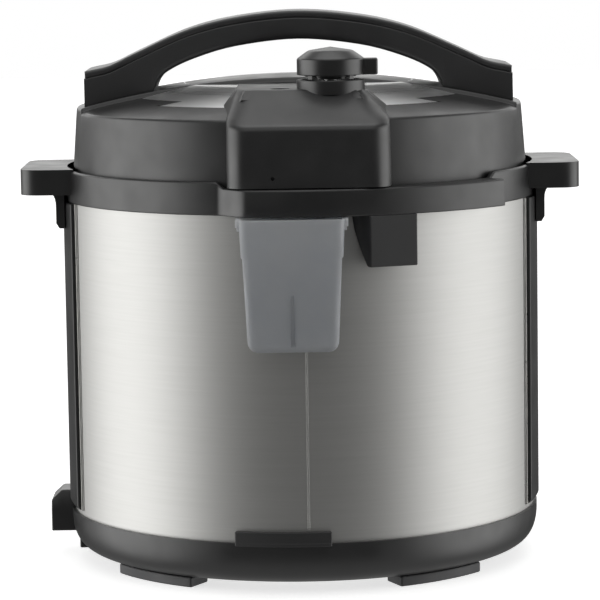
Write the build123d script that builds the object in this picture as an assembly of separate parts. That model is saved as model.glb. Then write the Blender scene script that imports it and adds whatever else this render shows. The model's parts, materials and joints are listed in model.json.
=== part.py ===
from build123d import *
from math import cos, degrees, radians, sin, sqrt
import os

# Electric pressure cooker, six-quart class. Millimetres, +Z up, origin on the pot's axis at floor level.
# The control panel faces +Y; the steam valve hub and the condensation cup face -Y.
# Bearings are degrees from -Y (the back) towards +X.

# ---- driving dimensions ------------------------------------------------------------------------
FIT = 0.4                                  # gap left between bodies that move
WALL = 2.5                                 # plastic wall thickness
HALF_DEPTH = 160.0                         # furthest reach of panel (+Y) and cup (-Y)

BASE_R = 140.0
BASE_FLAT_R = 125.0
BASE_UNDERSIDE = 6.0
WRAP_R = 138.0
WRAP_SKIN = 0.8
WRAP_BOTTOM = 30.4
SEAM_BEARING = 0.9
SEAM_LAP = 0.4

COLLAR_R = 139.8
COLLAR_INNER_R = 136.6
COLLAR_BOTTOM = 214.8
COLLAR_TOP = 233.4
CHANNEL_FLOOR = 217.0
LEDGE_R = 151.2
LEDGE_TOP = 230.0
LEDGE_START = -19.0
LEDGE_BLEND = -11.2
LEDGE_END = 50.4
NOTCH_START = -19.4
NOTCH_END = 51.2

HANDLE_REACH = 164.0
HANDLE_HALF_DEPTH = 41.0
HANDLE_BOTTOM = 219.7
HANDLE_TOP = 234.6
TRIM_HALF_BEARING = 18.5
TRIM_R = 141.2

CHAMBER_R = 116.0                          # outer pot, inside radius
CHAMBER_SKIN = 1.2
CHAMBER_FLOOR = 44.0
FLANGE_TOP = 224.0
FLANGE_R = 124.4
LUG_COUNT = 8
LUG_ANGLE = 20.0
POT_LUG_R = 128.6
POT_R = 112.0
POT_SKIN = 1.2
POT_FLOOR = 58.4
POT_RIM_R = 121.0
HEATER_R = 96.0
HEATER_TOP = 58.0
SENSOR_R = 14.0

SKIRT_FOOT_R = 134.5
SKIRT_FOOT = 224.0
SKIRT_TOP_R = 132.0
SKIRT_TOP = 266.0
DOME_EDGE_R = 130.2
DOME_EDGE = 267.6
DOME_TOP = 284.5
WINDOW_R = 108.6
BAND_HALF = 71.0
BRIDGE_HALF = 32.0
BRIDGE_RISE = 2.5
TRIM_DEPTH = 1.8
RIM_R = 131.5
RIM_INNER_R = 130.0
RIM_FOOT = 218.3
LID_LUG_R = 125.8
LUG_THICK = 2.5

VENT = (18.2, -98.0)
FLOAT = (-10.6, -100.0)
HUB_TOP = 283.0
HUB_FOOT = 230.6
CUP_X = -4.9
CUP_TOP = 214.4
CUP_BOTTOM = 140.4
SWITCH_BEARING = 20.0
INLET_HALF_WIDTH = 15.0
BUTTON_TRAVEL = 1.2

os.makedirs("parts", exist_ok=True)


# ---- helpers -----------------------------------------------------------------------------------
def save(shape, node):
    export_step(shape, f"parts/{node}.step")


def spin(points):
    """Solid of revolution about Z from a closed outline of (radius, height) points."""
    return revolve(make_face(Plane.XZ * Polyline(*points, close=True)), Axis.Z)


def ring(inner, outer, low, high):
    return spin([(inner, low), (outer, low), (outer, high), (inner, high)])


def disc(radius, low, high, x=0.0, y=0.0):
    return Pos(x, y, (low + high) / 2) * Cylinder(radius, high - low)


def block(x0, x1, y0, y1, z0, z1):
    centre = ((x0 + x1) / 2, (y0 + y1) / 2, (z0 + z1) / 2)
    return Pos(*centre) * Box(x1 - x0, y1 - y0, z1 - z0)


def rise(face, low, high):
    """Plan outline carried upwards from low to high."""
    return Pos(0, 0, low) * extrude(face, high - low, dir=(0, 0, 1))


def at(radius, bearing):
    """Plan position at a radius and a bearing from the back."""
    return (radius * sin(radians(bearing)), -radius * cos(radians(bearing)))


def sector(inner, outer, start, end, low, high):
    """Part of a ring between two bearings."""
    middle = (start + end) / 2
    outline = [
        Line(at(inner, start), at(outer, start)),
        ThreePointArc(at(outer, start), at(outer, middle), at(outer, end)),
        Line(at(outer, end), at(inner, end)),
        ThreePointArc(at(inner, end), at(inner, middle), at(inner, start)),
    ]
    return rise(make_face(outline), low, high)


def side_profile(points, x0, x1):
    """Closed (y, z) outline carried along X."""
    face = make_face(Plane.YZ * Polyline(*points, close=True))
    return Pos(x0, 0, 0) * extrude(face, x1 - x0, dir=(1, 0, 0))


def front_profile(points, y0, y1):
    """Closed (x, z) outline carried along Y."""
    face = make_face(Plane.XZ * Polyline(*points, close=True))
    return Pos(0, y0, 0) * extrude(face, y1 - y0, dir=(0, 1, 0))


def dome_height(radius, drop=0.0):
    """Height of the lid's dome at a radius, or of the same dome lowered by drop."""
    rise = DOME_TOP - DOME_EDGE
    sphere = (DOME_EDGE_R ** 2 + rise ** 2) / (2 * rise)
    return DOME_TOP - drop - sphere + sqrt(sphere ** 2 - radius ** 2)


def dome_cap(radius, drop, thickness):
    """Spherical cap following the lid's dome."""
    top = ThreePointArc((0, dome_height(0, drop)), (radius / 2, dome_height(radius / 2, drop)),
                        (radius, dome_height(radius, drop)))
    low = drop + thickness
    under = ThreePointArc((0, dome_height(0, low)), (radius / 2, dome_height(radius / 2, low)),
                          (radius, dome_height(radius, low)))
    outline = [top, Line(top @ 1, under @ 1), under, Line(under @ 0, top @ 0)]
    return revolve(make_face([Plane.XZ * line for line in outline]), Axis.Z)


def lugs(inner, outer, low, high, offset):
    """Evenly spaced bayonet lugs round the axis."""
    pitch = 360.0 / LUG_COUNT
    starts = [offset + pitch * i - LUG_ANGLE / 2 for i in range(LUG_COUNT)]
    return [sector(inner, outer, s, s + LUG_ANGLE, low, high) for s in starts]


# ---- base --------------------------------------------------------------------------------------
def inlet_envelope(inset=0.0):
    """Hipped hood over the mains inlet on the left side."""
    low = 15.4 + inset
    side = front_profile([(-152.0, low), (-152.0, 34.0 - inset), (-146.0, 39.6 - inset), (-128.0, 39.6 - inset),
                          (-128.0, low)], -20.0, 20.0)
    half = INLET_HALF_WIDTH - inset
    end = side_profile([(-half, low), (half, low), (half, 28.4), (half - 4.0, 39.6 - inset),
                        (4.0 - half, 39.6 - inset), (-half, 28.4)], -152.0, -128.0)
    return side & end


def base_housing():
    """Moulded bowl with a lip round its top, an upstand inside the wrap and a rest under the inlet."""
    inner_r = BASE_R - WALL
    bowl = Bezier((BASE_FLAT_R, BASE_UNDERSIDE), (136, 7.0), (BASE_R, 15), (BASE_R, 27.0))
    inside = Bezier((WRAP_R - 4.0, 30.0), (WRAP_R - 4.0, 19), (132, 9.5), (BASE_FLAT_R - 1, BASE_UNDERSIDE + WALL))
    upper = Polyline((BASE_R, 27.0), (BASE_R, WRAP_BOTTOM), (WRAP_R - WRAP_SKIN, WRAP_BOTTOM),
                     (WRAP_R - WRAP_SKIN, 44.0), (WRAP_R - 4.0, 44.0), (WRAP_R - 4.0, 30.0))
    lower = Polyline((BASE_FLAT_R - 1, BASE_UNDERSIDE + WALL), (100, BASE_UNDERSIDE + WALL),
                     (100, BASE_UNDERSIDE), (BASE_FLAT_R, BASE_UNDERSIDE))
    outline = [Plane.XZ * line for line in (bowl, upper, inside, lower)]
    shell = revolve(make_face(outline), Axis.Z)
    rest = block(-136.0, -129.5, -12.0, 12.0, 4.0, 17.0) - disc(inner_r - 6, 0, 40)
    return shell + rest - inlet_envelope()


def bottom_cover():
    """Pressed plate that closes the underside, with cooling slots."""
    plate = disc(100.0 - 0.2, BASE_UNDERSIDE, BASE_UNDERSIDE + 1.5)
    slots = [sector(50, 80, 15 * i, 15 * i + 5, 0, 20) for i in range(24) if i % 6 > 1]
    return plate - slots


def foot_pad(bearing):
    pad = sector(110.0, 128.0, bearing - 13.8, bearing + 13.8, 0.0, BASE_UNDERSIDE)
    pad = fillet(pad.edges().filter_by(Axis.Z), 4.0)
    return chamfer(pad.edges().group_by(Axis.Z)[0], 0.8)


def rear_clip():
    """Moulded clip over the bottom edge of the wrap at the seam."""
    half = degrees(27.5 / BASE_R)
    centre = -5.1
    hook = sector(WRAP_R + 0.05, BASE_R + 1.0, centre - half, centre + half, WRAP_BOTTOM + 0.05, 37.2)
    return hook + sector(BASE_R + 0.05, BASE_R + 1.0, centre - half, centre + half, 28.6, 33.0)


def body_wrap():
    """Brushed sheet rolled into a drum, lapped at the back, with a window behind the panel."""
    skin = ring(WRAP_R - WRAP_SKIN, WRAP_R, WRAP_BOTTOM, COLLAR_BOTTOM)
    lap_half = degrees(1.0 / WRAP_R)
    lap = sector(WRAP_R - 0.1, WRAP_R + SEAM_LAP, SEAM_BEARING - lap_half, SEAM_BEARING + lap_half,
                 WRAP_BOTTOM + 6.9, COLLAR_BOTTOM)
    window = block(-50, 50, 100, 150, 66, 190)
    return skin + lap - window - inlet_envelope()


def ledge_solid(inset, low, high):
    """Shelf that the lid's hub travels along, blended into the collar at its left end."""
    reach = LEDGE_R - inset
    start = LEDGE_START + degrees(inset / LEDGE_R)
    blend_end = LEDGE_BLEND + degrees(inset / LEDGE_R)
    end = LEDGE_END - degrees(inset / LEDGE_R)
    inner = COLLAR_R - 1.5
    blend = Bezier(at(COLLAR_R - inset, start), at(COLLAR_R - inset, start + 3.4),
                   at(reach, blend_end - 3.4), at(reach, blend_end))
    outline = [
        blend,
        ThreePointArc(at(reach, blend_end), at(reach, 20), at(reach, end)),
        Line(at(reach, end), at(inner, end)),
        ThreePointArc(at(inner, end), at(inner, 15), at(inner, start)),
        Line(at(inner, start), at(COLLAR_R - inset, start)),
    ]
    return rise(make_face(outline), low, high)


def side_handle(side):
    """Flat lifting handle standing out of the collar."""
    depth = HANDLE_HALF_DEPTH
    plan = Pos(side * (HANDLE_REACH - 20), 0) * RectangleRounded(40, 2 * depth, 11)
    slab = rise(plan, HANDLE_BOTTOM, HANDLE_TOP)
    slab = fillet(slab.edges().group_by(Axis.Z)[-1] + slab.edges().group_by(Axis.Z)[0], 2.0)
    return slab - disc(COLLAR_R - 0.6, 0, 300)


def cup_rails():
    """Two rails inside the cup's mouth that it hangs from."""
    rails = []
    for side in (-1, 1):
        web = CUP_X + side * 21.0
        rails.append(block(web - 1, web + 1, -150.5, -142.5, 207.6, COLLAR_BOTTOM + 0.5))
        lip = sorted((web, web + side * 4.6))
        rails.append(block(lip[0], lip[1], -150.5, -142.5, 207.6, 209.4))
    return rails


def top_collar():
    """Moulded ring that the lid sits in: wall, channel floor, ledge and both side handles."""
    wall = ring(COLLAR_INNER_R, COLLAR_R, COLLAR_BOTTOM, COLLAR_TOP)
    wall = fillet(wall.edges().group_by(Axis.Z)[-1], 1.0)
    notch = sector(COLLAR_INNER_R - 2, COLLAR_R + 2, NOTCH_START, NOTCH_END, LEDGE_TOP, 240)
    floor = ring(119.6, COLLAR_R, COLLAR_BOTTOM, CHANNEL_FLOOR)
    seat = ring(119.6, FLANGE_R, CHANNEL_FLOOR - 1, FLANGE_TOP - LUG_THICK)
    key = ring(WRAP_R - WRAP_SKIN - 2.6, WRAP_R - WRAP_SKIN - 0.1, 206.0, COLLAR_BOTTOM + 1)
    ledge = ledge_solid(0.0, COLLAR_BOTTOM, LEDGE_TOP) - ledge_solid(WALL, CHANNEL_FLOOR, LEDGE_TOP - WALL)
    drain = block(CUP_X - 12, CUP_X + 12, -149, -130, CHANNEL_FLOOR, CHANNEL_FLOOR + 4)
    hole = block(CUP_X - 12, CUP_X + 12, -148, -142, COLLAR_BOTTOM - 1, CHANNEL_FLOOR + 1)
    body = wall + floor + seat + key + ledge
    body = body - notch - drain - hole
    for side in (-1, 1):
        body += side_handle(side)
    for rail in cup_rails():
        body += rail
    return body


def handle_bracket(side):
    """Short gusset under a side handle."""
    points = [(side * 140.6, 199.0), (side * 142.4, 199.4), (side * 143.8, 202.4), (side * 143.8, 215.0),
              (side * 147.2, HANDLE_BOTTOM), (side * 140.6, HANDLE_BOTTOM)]
    gusset = front_profile(points, -30.0, 30.0)
    gusset -= front_profile([(side * 142.6, 196.0), (side * 160.0, 196.0), (side * 160.0, HANDLE_BOTTOM - 1),
                             (side * 142.6, HANDLE_BOTTOM - 1)], -27.0, 27.0)
    return gusset - disc(TRIM_R + 0.02, 0, COLLAR_BOTTOM) - disc(COLLAR_R + 0.02, 0, 300)


def side_trim(side):
    """Moulded strip down the side of the wrap, with a thin folded edge."""
    low = WRAP_BOTTOM + 3.0
    facing = side * 90.0
    strip = sector(WRAP_R + 0.02, TRIM_R, facing - TRIM_HALF_BEARING, facing + TRIM_HALF_BEARING, low,
                   COLLAR_BOTTOM - 0.05)
    strip = chamfer(strip.edges().group_by(Axis.Z)[0].sort_by(SortBy.LENGTH)[-1], 1.5)
    return strip - inlet_envelope()


def trim_edges():
    """Folded metal strips along both edges of each side trim."""
    low = WRAP_BOTTOM + 3.0
    strips = []
    for side in (-1, 1):
        for end in (-1, 1):
            inner = side * 90.0 + end * (TRIM_HALF_BEARING + 0.05)
            outer = inner + end * degrees(2.0 / WRAP_R)
            strips.append(sector(WRAP_R + 0.02, WRAP_R + 1.4, min(inner, outer), max(inner, outer), low,
                                 COLLAR_BOTTOM - 0.05))
    return Compound(children=strips)


def switch_box(inset, bottom):
    """Box under the ledge with a curved lower edge on its left."""
    half = 14.0 - inset
    plan = Pos(0, -(LEDGE_R - 9.5)) * Rectangle(2 * half, 19.0 - 2 * inset)
    box = rise(plan, bottom, COLLAR_BOTTOM - 0.05)
    sweep_cut = Pos(-half, -LEDGE_R + 19.0, bottom) * Rot(0, 90, 0) * Cylinder(14.0, 60)
    box = Rot(0, 0, SWITCH_BEARING) * (box - sweep_cut)
    return box - disc(WRAP_R + 0.05 + inset, 0, 300)


def switch_web():
    """Web that spreads the box's left flank against the wrap."""
    plan = make_face(Polyline((-13.0, -LEDGE_R + 1.0), (-20.0, -WRAP_R + 1.0), (-13.0, -WRAP_R + 1.0),
                              (-13.0, -LEDGE_R + 1.0)))
    web = Rot(0, 0, SWITCH_BEARING) * rise(plan, 198.0, COLLAR_BOTTOM - 0.05)
    return web - disc(WRAP_R + 0.05, 0, 300)


def switch_housing():
    return switch_box(0.0, 186.0) - switch_box(1.6, 188.0) + switch_web()


def lid_switch():
    """Reed switch capsule in its housing."""
    x, y = at(145.5, SWITCH_BEARING)
    body = Rot(0, 0, SWITCH_BEARING) * block(-9, 9, -147.4, -143.8, 200, 211)
    return body + disc(1.2, 194, 201, x, y)


# ---- mains inlet -------------------------------------------------------------------------------
def inlet_hood():
    hood = inlet_envelope()
    mouth = block(-160, -134, -12.3, 12.3, 16.8, 32.9)
    return hood - mouth - disc(WRAP_R + 0.05, WRAP_BOTTOM - 3, 60) - block(-134, -120, -12.3, 12.3, 16.8, 32.9)


def mains_inlet():
    """Socket insert behind the hood."""
    body = block(-134, -118, -12.2, 12.2, 16.9, 32.8)
    body += block(-149.5, -134, -12.2, 12.2, 16.9, 18.1)
    body += block(-149.5, -134, -12.2, 12.2, 31.6, 32.8)
    body += block(-149.5, -134, -12.2, -11.0, 16.9, 32.8)
    body += block(-149.5, -134, 11.0, 12.2, 16.9, 32.8)
    return body - inlet_pin_holes()


def inlet_pin_holes():
    return [block(-150, -119, y - 1, y + 1, z - 2, z + 2) for y, z in ((-7, 23.0), (0, 26.6), (7, 23.0))]


def inlet_pins():
    pins = [block(-146, -119.5, y - 1, y + 1, z - 2, z + 2) for y, z in ((-7, 23.0), (0, 26.6), (7, 23.0))]
    return Compound(children=pins)


# ---- control panel -----------------------------------------------------------------------------
PANEL_LOW = 52.0
PANEL_HIGH = 205.0
PANEL_HALF = 62.0
PANEL_ARC_R = 190.0
LENS_LOW = 146.0
LENS_HIGH = 186.0
LENS_HALF = 33.0
BUTTON_COLUMNS = (-44.0, 44.0)
BUTTON_ROWS = (74.0, 98.0, 122.0)
BUTTON_HALF_WIDTH = 11.5
BUTTON_HALF_HEIGHT = 5.5


def panel_face(inset):
    """Bowed block that the panel, its lens and its keys are cut from."""
    centre = HALF_DEPTH - PANEL_ARC_R
    half = PANEL_HALF - inset
    reach = PANEL_ARC_R - inset
    front_y = centre + sqrt(reach ** 2 - half ** 2)
    outline = [
        ThreePointArc((-half, front_y), (0, centre + reach), (half, front_y)),
        Line((half, front_y), (half, 110)),
        Line((half, 110), (-half, 110)),
        Line((-half, 110), (-half, front_y)),
    ]
    return rise(make_face(outline), PANEL_LOW + inset, PANEL_HIGH - inset)


def pill(x, z, half_width, half_height, y0, y1):
    sketch = Pos(x, z) * SlotOverall(2 * half_width, 2 * half_height)
    return Pos(0, y0, 0) * extrude(Plane.XZ * sketch, y1 - y0, dir=(0, 1, 0))


def lens_block(gap):
    plan = Pos(0, (LENS_LOW + LENS_HIGH) / 2) * RectangleRounded(2 * (LENS_HALF - gap),
                                                                LENS_HIGH - LENS_LOW - 2 * gap, 5)
    return Pos(0, 120, 0) * extrude(Plane.XZ * plan, 80, dir=(0, 1, 0))


def key_places():
    """Six keys in two columns, with two round keys between them."""
    places = [(x, z, BUTTON_HALF_WIDTH, BUTTON_HALF_HEIGHT) for z in BUTTON_ROWS for x in BUTTON_COLUMNS]
    return places + [(-12.0, BUTTON_ROWS[0], 8.4, 8.0), (12.0, BUTTON_ROWS[0], 8.4, 8.0)]


def control_fascia():
    block_outer = panel_face(0.0)
    rim = block_outer.edges().filter_by(Axis.Z).sort_by(Axis.Y)[-2:]
    block_outer = fillet(rim, 10.0)
    front = block_outer.faces().sort_by(Axis.Z)
    block_outer = fillet(front[-1].edges().sort_by(Axis.Y)[-3:] + front[0].edges().sort_by(Axis.Y)[-3:], 4.0)
    body = block_outer - panel_face(WALL + 0.4) - block(-59, 59, 100, 125, PANEL_LOW + 3, PANEL_HIGH - 3)
    body -= lens_block(0.0)
    for x, z, half_width, half_height in key_places():
        body -= pill(x, z, half_width + FIT, half_height + FIT, 120, 200)
    return body - disc(WRAP_R + 0.05, 0, 300)


def display_lens():
    return (panel_face(0.5) - panel_face(2.3)) & lens_block(0.15)


def button_key(x, z, half_width, half_height):
    """Key cap with a stem towards its switch; its face follows the panel."""
    cap = pill(x, z, half_width, half_height, 120, 200) & (panel_face(0.2) - panel_face(3.6))
    back = HALF_DEPTH - PANEL_ARC_R + sqrt((PANEL_ARC_R - 3.6) ** 2 - x * x) + 1.2
    length = back - KEY_SWITCH_Y - BUTTON_TRAVEL - 0.3
    return cap + Pos(x, back - length / 2, z) * Rot(90, 0, 0) * Cylinder(1.6, length)


BOARD_Y = 138.8
KEY_SWITCH_Y = 142.0


def control_board():
    """Circuit board behind the panel with a switch behind each key."""
    board = block(-54, 54, BOARD_Y, BOARD_Y + 1.6, 62, 196)
    for x, z, _, _ in key_places():
        board += block(x - 3, x + 3, BOARD_Y + 1.6, KEY_SWITCH_Y, z - 3, z + 3)
    board += block(-14, 14, BOARD_Y - 4, BOARD_Y, 100, 116)
    return board + block(-30, -14, BOARD_Y - 8, BOARD_Y, 160, 176)


def display_module():
    return block(-27, 27, BOARD_Y + 1.65, 152.0, 150, 182)


# ---- heating chamber ---------------------------------------------------------------------------
def outer_pot():
    """Steel chamber with the bayonet flange that the lid locks under."""
    outer = CHAMBER_R + CHAMBER_SKIN
    shell = spin([(70, CHAMBER_FLOOR), (outer, CHAMBER_FLOOR), (outer, FLANGE_TOP - LUG_THICK),
                  (FLANGE_R, FLANGE_TOP - LUG_THICK), (FLANGE_R, FLANGE_TOP), (CHAMBER_R, FLANGE_TOP),
                  (CHAMBER_R, CHAMBER_FLOOR + CHAMBER_SKIN), (70, CHAMBER_FLOOR + CHAMBER_SKIN)])
    for lug in lugs(FLANGE_R - 0.5, POT_LUG_R, FLANGE_TOP - LUG_THICK, FLANGE_TOP, 0.0):
        shell += lug
    return shell


def heater_plate():
    """Cast plate with its element ring underneath."""
    bore = SENSOR_R + 2.0
    plate = spin([(bore, HEATER_TOP - 6), (HEATER_R, HEATER_TOP - 6), (HEATER_R, HEATER_TOP - 1.5),
                  (HEATER_R - 1.5, HEATER_TOP), (bore, HEATER_TOP)])
    boss = ring(60, 78, CHAMBER_FLOOR + CHAMBER_SKIN + 0.02, HEATER_TOP - 5.5)
    return plate + boss


def sensor_bracket():
    """Strap under the chamber that carries the sensor's spring."""
    strap = block(-80, 80, -12, 12, 28.4, 30.0)
    for side in (-1, 1):
        x = sorted((side * 80, side * 78))
        strap += block(x[0], x[1], -12, 12, 28.4, CHAMBER_FLOOR)
    return strap + ring(0.01, 4.0, 30.0, 34.0)


def sensor_spring():
    """Open coil between the strap and the sensor."""
    low, high, coil_r, wire_r = 31.0, 45.2, 7.6, 0.6
    path = Helix((high - low) / 4.0, high - low, coil_r)
    section = Plane(path @ 0, z_dir=path % 0) * Circle(wire_r)
    return Pos(0, 0, low) * sweep(section, path, is_frenet=True)


def temperature_sensor():
    """Spring-loaded cap that touches the inner pot."""
    cap = disc(SENSOR_R, 50.0, HEATER_TOP)
    cap = fillet(cap.edges().group_by(Axis.Z)[-1], 1.5)
    return cap + ring(9.6, 10.8, 46.6, 50.5) + disc(10.8, 46.2, 47.4)


def thermal_fuse():
    can = Pos(40, 34, 40.5) * Rot(0, 90, 0) * Cylinder(3.0, 16)
    return can + block(38.5, 41.5, 30, 38, 42.8, CHAMBER_FLOOR - 0.05)


def pressure_switch():
    return block(-62, -44, 30, 50, 32, CHAMBER_FLOOR - 0.05) + disc(4, 24, 33, -53, 40)


def power_board():
    """Mains board on the bottom cover: relay, filter, capacitor, terminals."""
    board = block(-60, 50, -70, -16, 12.0, 13.6)
    board += block(-52, -32, -62, -46, 13.6, 27.0)
    board += block(-24, -2, -64, -40, 13.6, 26.0)
    board += disc(7, 13.6, 26.0, 20, -54)
    board += block(34, 46, -66, -24, 13.6, 22.0)
    for x, y in ((-56, -66), (46, -20), (-56, -20), (46, -68)):
        board += disc(2.0, BASE_UNDERSIDE + 1.5, 12.2, x, y)
    return board


def inner_pot():
    """Removable cooking pot with a rolled rim."""
    wall = spin([(0, POT_FLOOR), (POT_R - 8, POT_FLOOR), (POT_R, POT_FLOOR + 8), (POT_R, FLANGE_TOP + FIT),
                 (POT_RIM_R, FLANGE_TOP + FIT), (POT_RIM_R, FLANGE_TOP + FIT + 2.0),
                 (POT_R - POT_SKIN, FLANGE_TOP + FIT + 2.0), (POT_R - POT_SKIN, POT_FLOOR + 8.5),
                 (POT_R - 8.5, POT_FLOOR + 1.6), (0, POT_FLOOR + 1.6)])
    return wall


def case_screws():
    screws = []
    for bearing in (0, 90, 180, 270):
        x, y = at(94.0, bearing + 20)
        screws.append(disc(3.6, BASE_UNDERSIDE - 1.8, BASE_UNDERSIDE - 0.02, x, y))
    return Compound(children=screws)


# ---- lid ---------------------------------------------------------------------------------------
def lid_solid():
    """Everything under the lid's outer surface, without the raised bridge."""
    edge = ThreePointArc((SKIRT_TOP_R, SKIRT_TOP - 1), (SKIRT_TOP_R - 0.6, SKIRT_TOP + 0.9),
                         (DOME_EDGE_R, DOME_EDGE))
    top = ThreePointArc((DOME_EDGE_R, DOME_EDGE), (66, dome_height(66)), (0, DOME_TOP))
    rest = Polyline((0, DOME_TOP), (0, SKIRT_FOOT), (SKIRT_FOOT_R, SKIRT_FOOT), (SKIRT_FOOT_R, COLLAR_TOP),
                    (SKIRT_TOP_R, SKIRT_TOP - 1))
    return revolve(make_face([Plane.XZ * line for line in (edge, top, rest)]), Axis.Z)


def cover_inside():
    """Space under the cover's shell; it is thinner over the trim disc."""
    room = spin([(0, SKIRT_FOOT - 1), (SKIRT_FOOT_R - 2.3, SKIRT_FOOT - 1), (SKIRT_FOOT_R - 2.3, COLLAR_TOP),
                 (SKIRT_TOP_R - WALL, SKIRT_TOP - 3), (SKIRT_TOP_R - WALL, 300), (0, 300)])
    ceiling = dome_cap(SKIRT_TOP_R, WALL + 0.6, 90)
    middle = dome_cap(WINDOW_R + 4.2, TRIM_DEPTH, 60)
    return (room & ceiling) + (middle & room)


def bridge():
    """Raised band between the feet of the arch handle."""
    return dome_cap(129.6, -BRIDGE_RISE, BRIDGE_RISE + 1.0) & block(-131, 131, -BRIDGE_HALF, BRIDGE_HALF, 0, 320)


def bridge_room():
    """Space that the bridge takes, cut from what stands over it."""
    half = BRIDGE_HALF + 0.02
    return dome_cap(129.9, -BRIDGE_RISE - 0.02, 20) & block(-132, 132, -half, half, 0, 320)


def hub_side(inset):
    """Hub seen from the side: flat top, sloping brow and a face down to the ledge."""
    return side_profile([(-18.0, 255.0), (-18.0 - inset, HUB_TOP - inset), (-111.0 + inset / 3, HUB_TOP - inset),
                         (-143.5 + inset, 264.0 - inset / 2), (-146.5 + inset, HUB_FOOT), (-100.0, HUB_FOOT)],
                        -60, 60)


def hub_front(inset):
    """Upright part of the hub in front of the lid."""
    front = front_profile([(-40.5 + inset, HUB_FOOT), (-40.4 + inset, 268.0 - inset / 2),
                           (-35.2 + inset / 2, HUB_TOP), (36.2 - inset / 2, HUB_TOP),
                           (50.2 - inset, 268.0 - inset / 2), (50.8 - inset, HUB_FOOT)], -170, 0)
    form = hub_side(inset) & front
    corners = form.edges().filter_by(lambda e: abs(e.tangent_at(0.5).Z) > 0.9).sort_by(Axis.Y)[:2]
    return fillet(corners, 12.0 - inset)


def hub_flare(inset):
    """Part of the hub that lies on the dome, with sloping flanks."""
    flanks = front_profile([(-53.0 + inset, 264.0), (-35.2 + inset / 2, HUB_TOP), (36.2 - inset / 2, HUB_TOP),
                            (58.0 - inset, 264.0)], -126, 0)
    return flanks & hub_side(inset) & disc(127.5 - inset, 200, 300)


def valve_hub():
    """Housing over the vent and the float, running down the skirt to the ledge."""
    form = hub_front(0.0)
    form = fillet(form.edges().filter_by(lambda e: e.center().Z > 255 and e.center().Y < -60), 1.6)
    shell = form + hub_flare(0.0) - hub_front(WALL) - hub_flare(WALL)
    shell = shell - lid_solid() - dome_cap(128, -0.02, 30) - bridge_room()
    boss = disc(19.2, HUB_TOP - 1, 288.0, *VENT)
    shell += fillet(boss.edges().group_by(Axis.Z)[-1], 0.8)
    shell += disc(9.0, 268, HUB_TOP - 1, *VENT) - lid_solid()
    shell += disc(8.5, 268, HUB_TOP - 1, *FLOAT) - lid_solid()
    shell -= disc(5.4, 240, 300, *VENT)
    shell -= disc(5.6, 240, 300, *FLOAT)
    shell -= disc(1.1, -4, 4).moved(Location((-15, -144, 236), (90, 0, 0)))
    return shell


def lid_cover():
    """Outer shell of the lid with two windows over the trim disc."""
    shell = lid_solid() - cover_inside()
    windows = disc(WINDOW_R, 262, 300)
    windows -= block(-140, 140, -BAND_HALF, BAND_HALF, 200, 320)
    shell = shell - windows + bridge()
    shell -= disc(6.0, 200, 300, *VENT)
    return shell - disc(6.4, 200, 300, *FLOAT)


def lid_trim_disc():
    """Polished disc seen through the cover's windows."""
    plate = dome_cap(WINDOW_R + 4.0, TRIM_DEPTH + 0.02, 0.8)
    return plate - disc(6.0, 200, 300, *VENT) - disc(6.4, 200, 300, *FLOAT)


def mirrored(points):
    """Right half of an outline joined to its own mirror image, left to right."""
    return [(-x, z) for x, z in reversed(points[1:])] + points


ARCH_TOP = [(0, 324.6), (36, 321.4), (65, 314.5), (93.5, 302.2), (110, 294.6), (123, 291.8)]
ARCH_UNDER = [(0, 307.9), (36, 304.3), (60, 297.8), (76, 290.6), (85, 278.0)]
CAP_THICK = 4.0


def arch_face(lower=0.0):
    """Side view of the arch handle down to below the dome."""
    top = Spline(*[(x, z - lower) for x, z in mirrored(ARCH_TOP)])
    under = Spline(*mirrored(ARCH_UNDER))
    right = Polyline((123, 291.8 - lower), (127.6, 290.8 - lower), (127.8, 262), (87, 262), (85, 278.0))
    left = Polyline((-123, 291.8 - lower), (-127.6, 290.8 - lower), (-127.8, 262), (-87, 262), (-85, 278.0))
    return make_face([Plane.XZ * line for line in (top, right, under, left)])


def arch_plan(inset=0.0):
    """Top view of the arch handle: narrow grip, wider feet, ends following the lid's rim."""
    half = 29.0 - inset
    grip = 20.0 - inset
    front = Spline((-100, -half), (0, -grip), (100, -half), tangents=((1, 0.05), (1, -0.05)))
    back = Spline((-100, half), (0, grip), (100, half), tangents=((1, -0.05), (1, 0.05)))
    right = Polyline((100, -half), (131, -half), (131, half), (100, half))
    left = Polyline((-100, -half), (-131, -half), (-131, half), (-100, half))
    plan = rise(make_face([front, right, back, left]), 240, 340)
    return plan & disc(129.0 - inset, 200, 340)


def arch_slab(lower):
    return Pos(0, -60, 0) * extrude(arch_face(lower), 120, dir=(0, 1, 0))


def arch(lower=0.0, inset=0.0):
    return arch_slab(lower) & arch_plan(inset)


def handle_body():
    """Lower moulding of the arch handle, with its feet on the dome."""
    form = arch(CAP_THICK)
    return form - lid_solid() - bridge_room()


def handle_cap():
    """Upper moulding of the arch handle."""
    form = arch() - arch_slab(CAP_THICK - 0.02)
    return form & block(-126.5, 126.5, -60, 60, 250, 340)


def pressure_lid():
    """Pressed steel lid with a turned-down rim and inward bayonet lugs."""
    top = Spline((0, 252.0), (60, 250.0), (104, 243.4), (126, 240.6))
    under = Spline((0, 250.0), (60, 248.0), (104, 241.4), (125.4, 238.6))
    outer = Polyline((126, 240.6), (RIM_R, 236), (RIM_R, RIM_FOOT), (RIM_INNER_R, RIM_FOOT), (RIM_INNER_R, 235.4),
                     (125.4, 238.6))
    axis = Line((0, 250.0), (0, 252.0))
    shell = revolve(make_face([Plane.XZ * line for line in (top, outer, under, axis)]), Axis.Z)
    for lug in lugs(LID_LUG_R, RIM_INNER_R + 0.5, RIM_FOOT, RIM_FOOT + LUG_THICK, -4.5):
        shell += lug
    return shell - disc(4.05, 200, 300, *VENT) - disc(3.4, 200, 300, *FLOAT)


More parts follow.
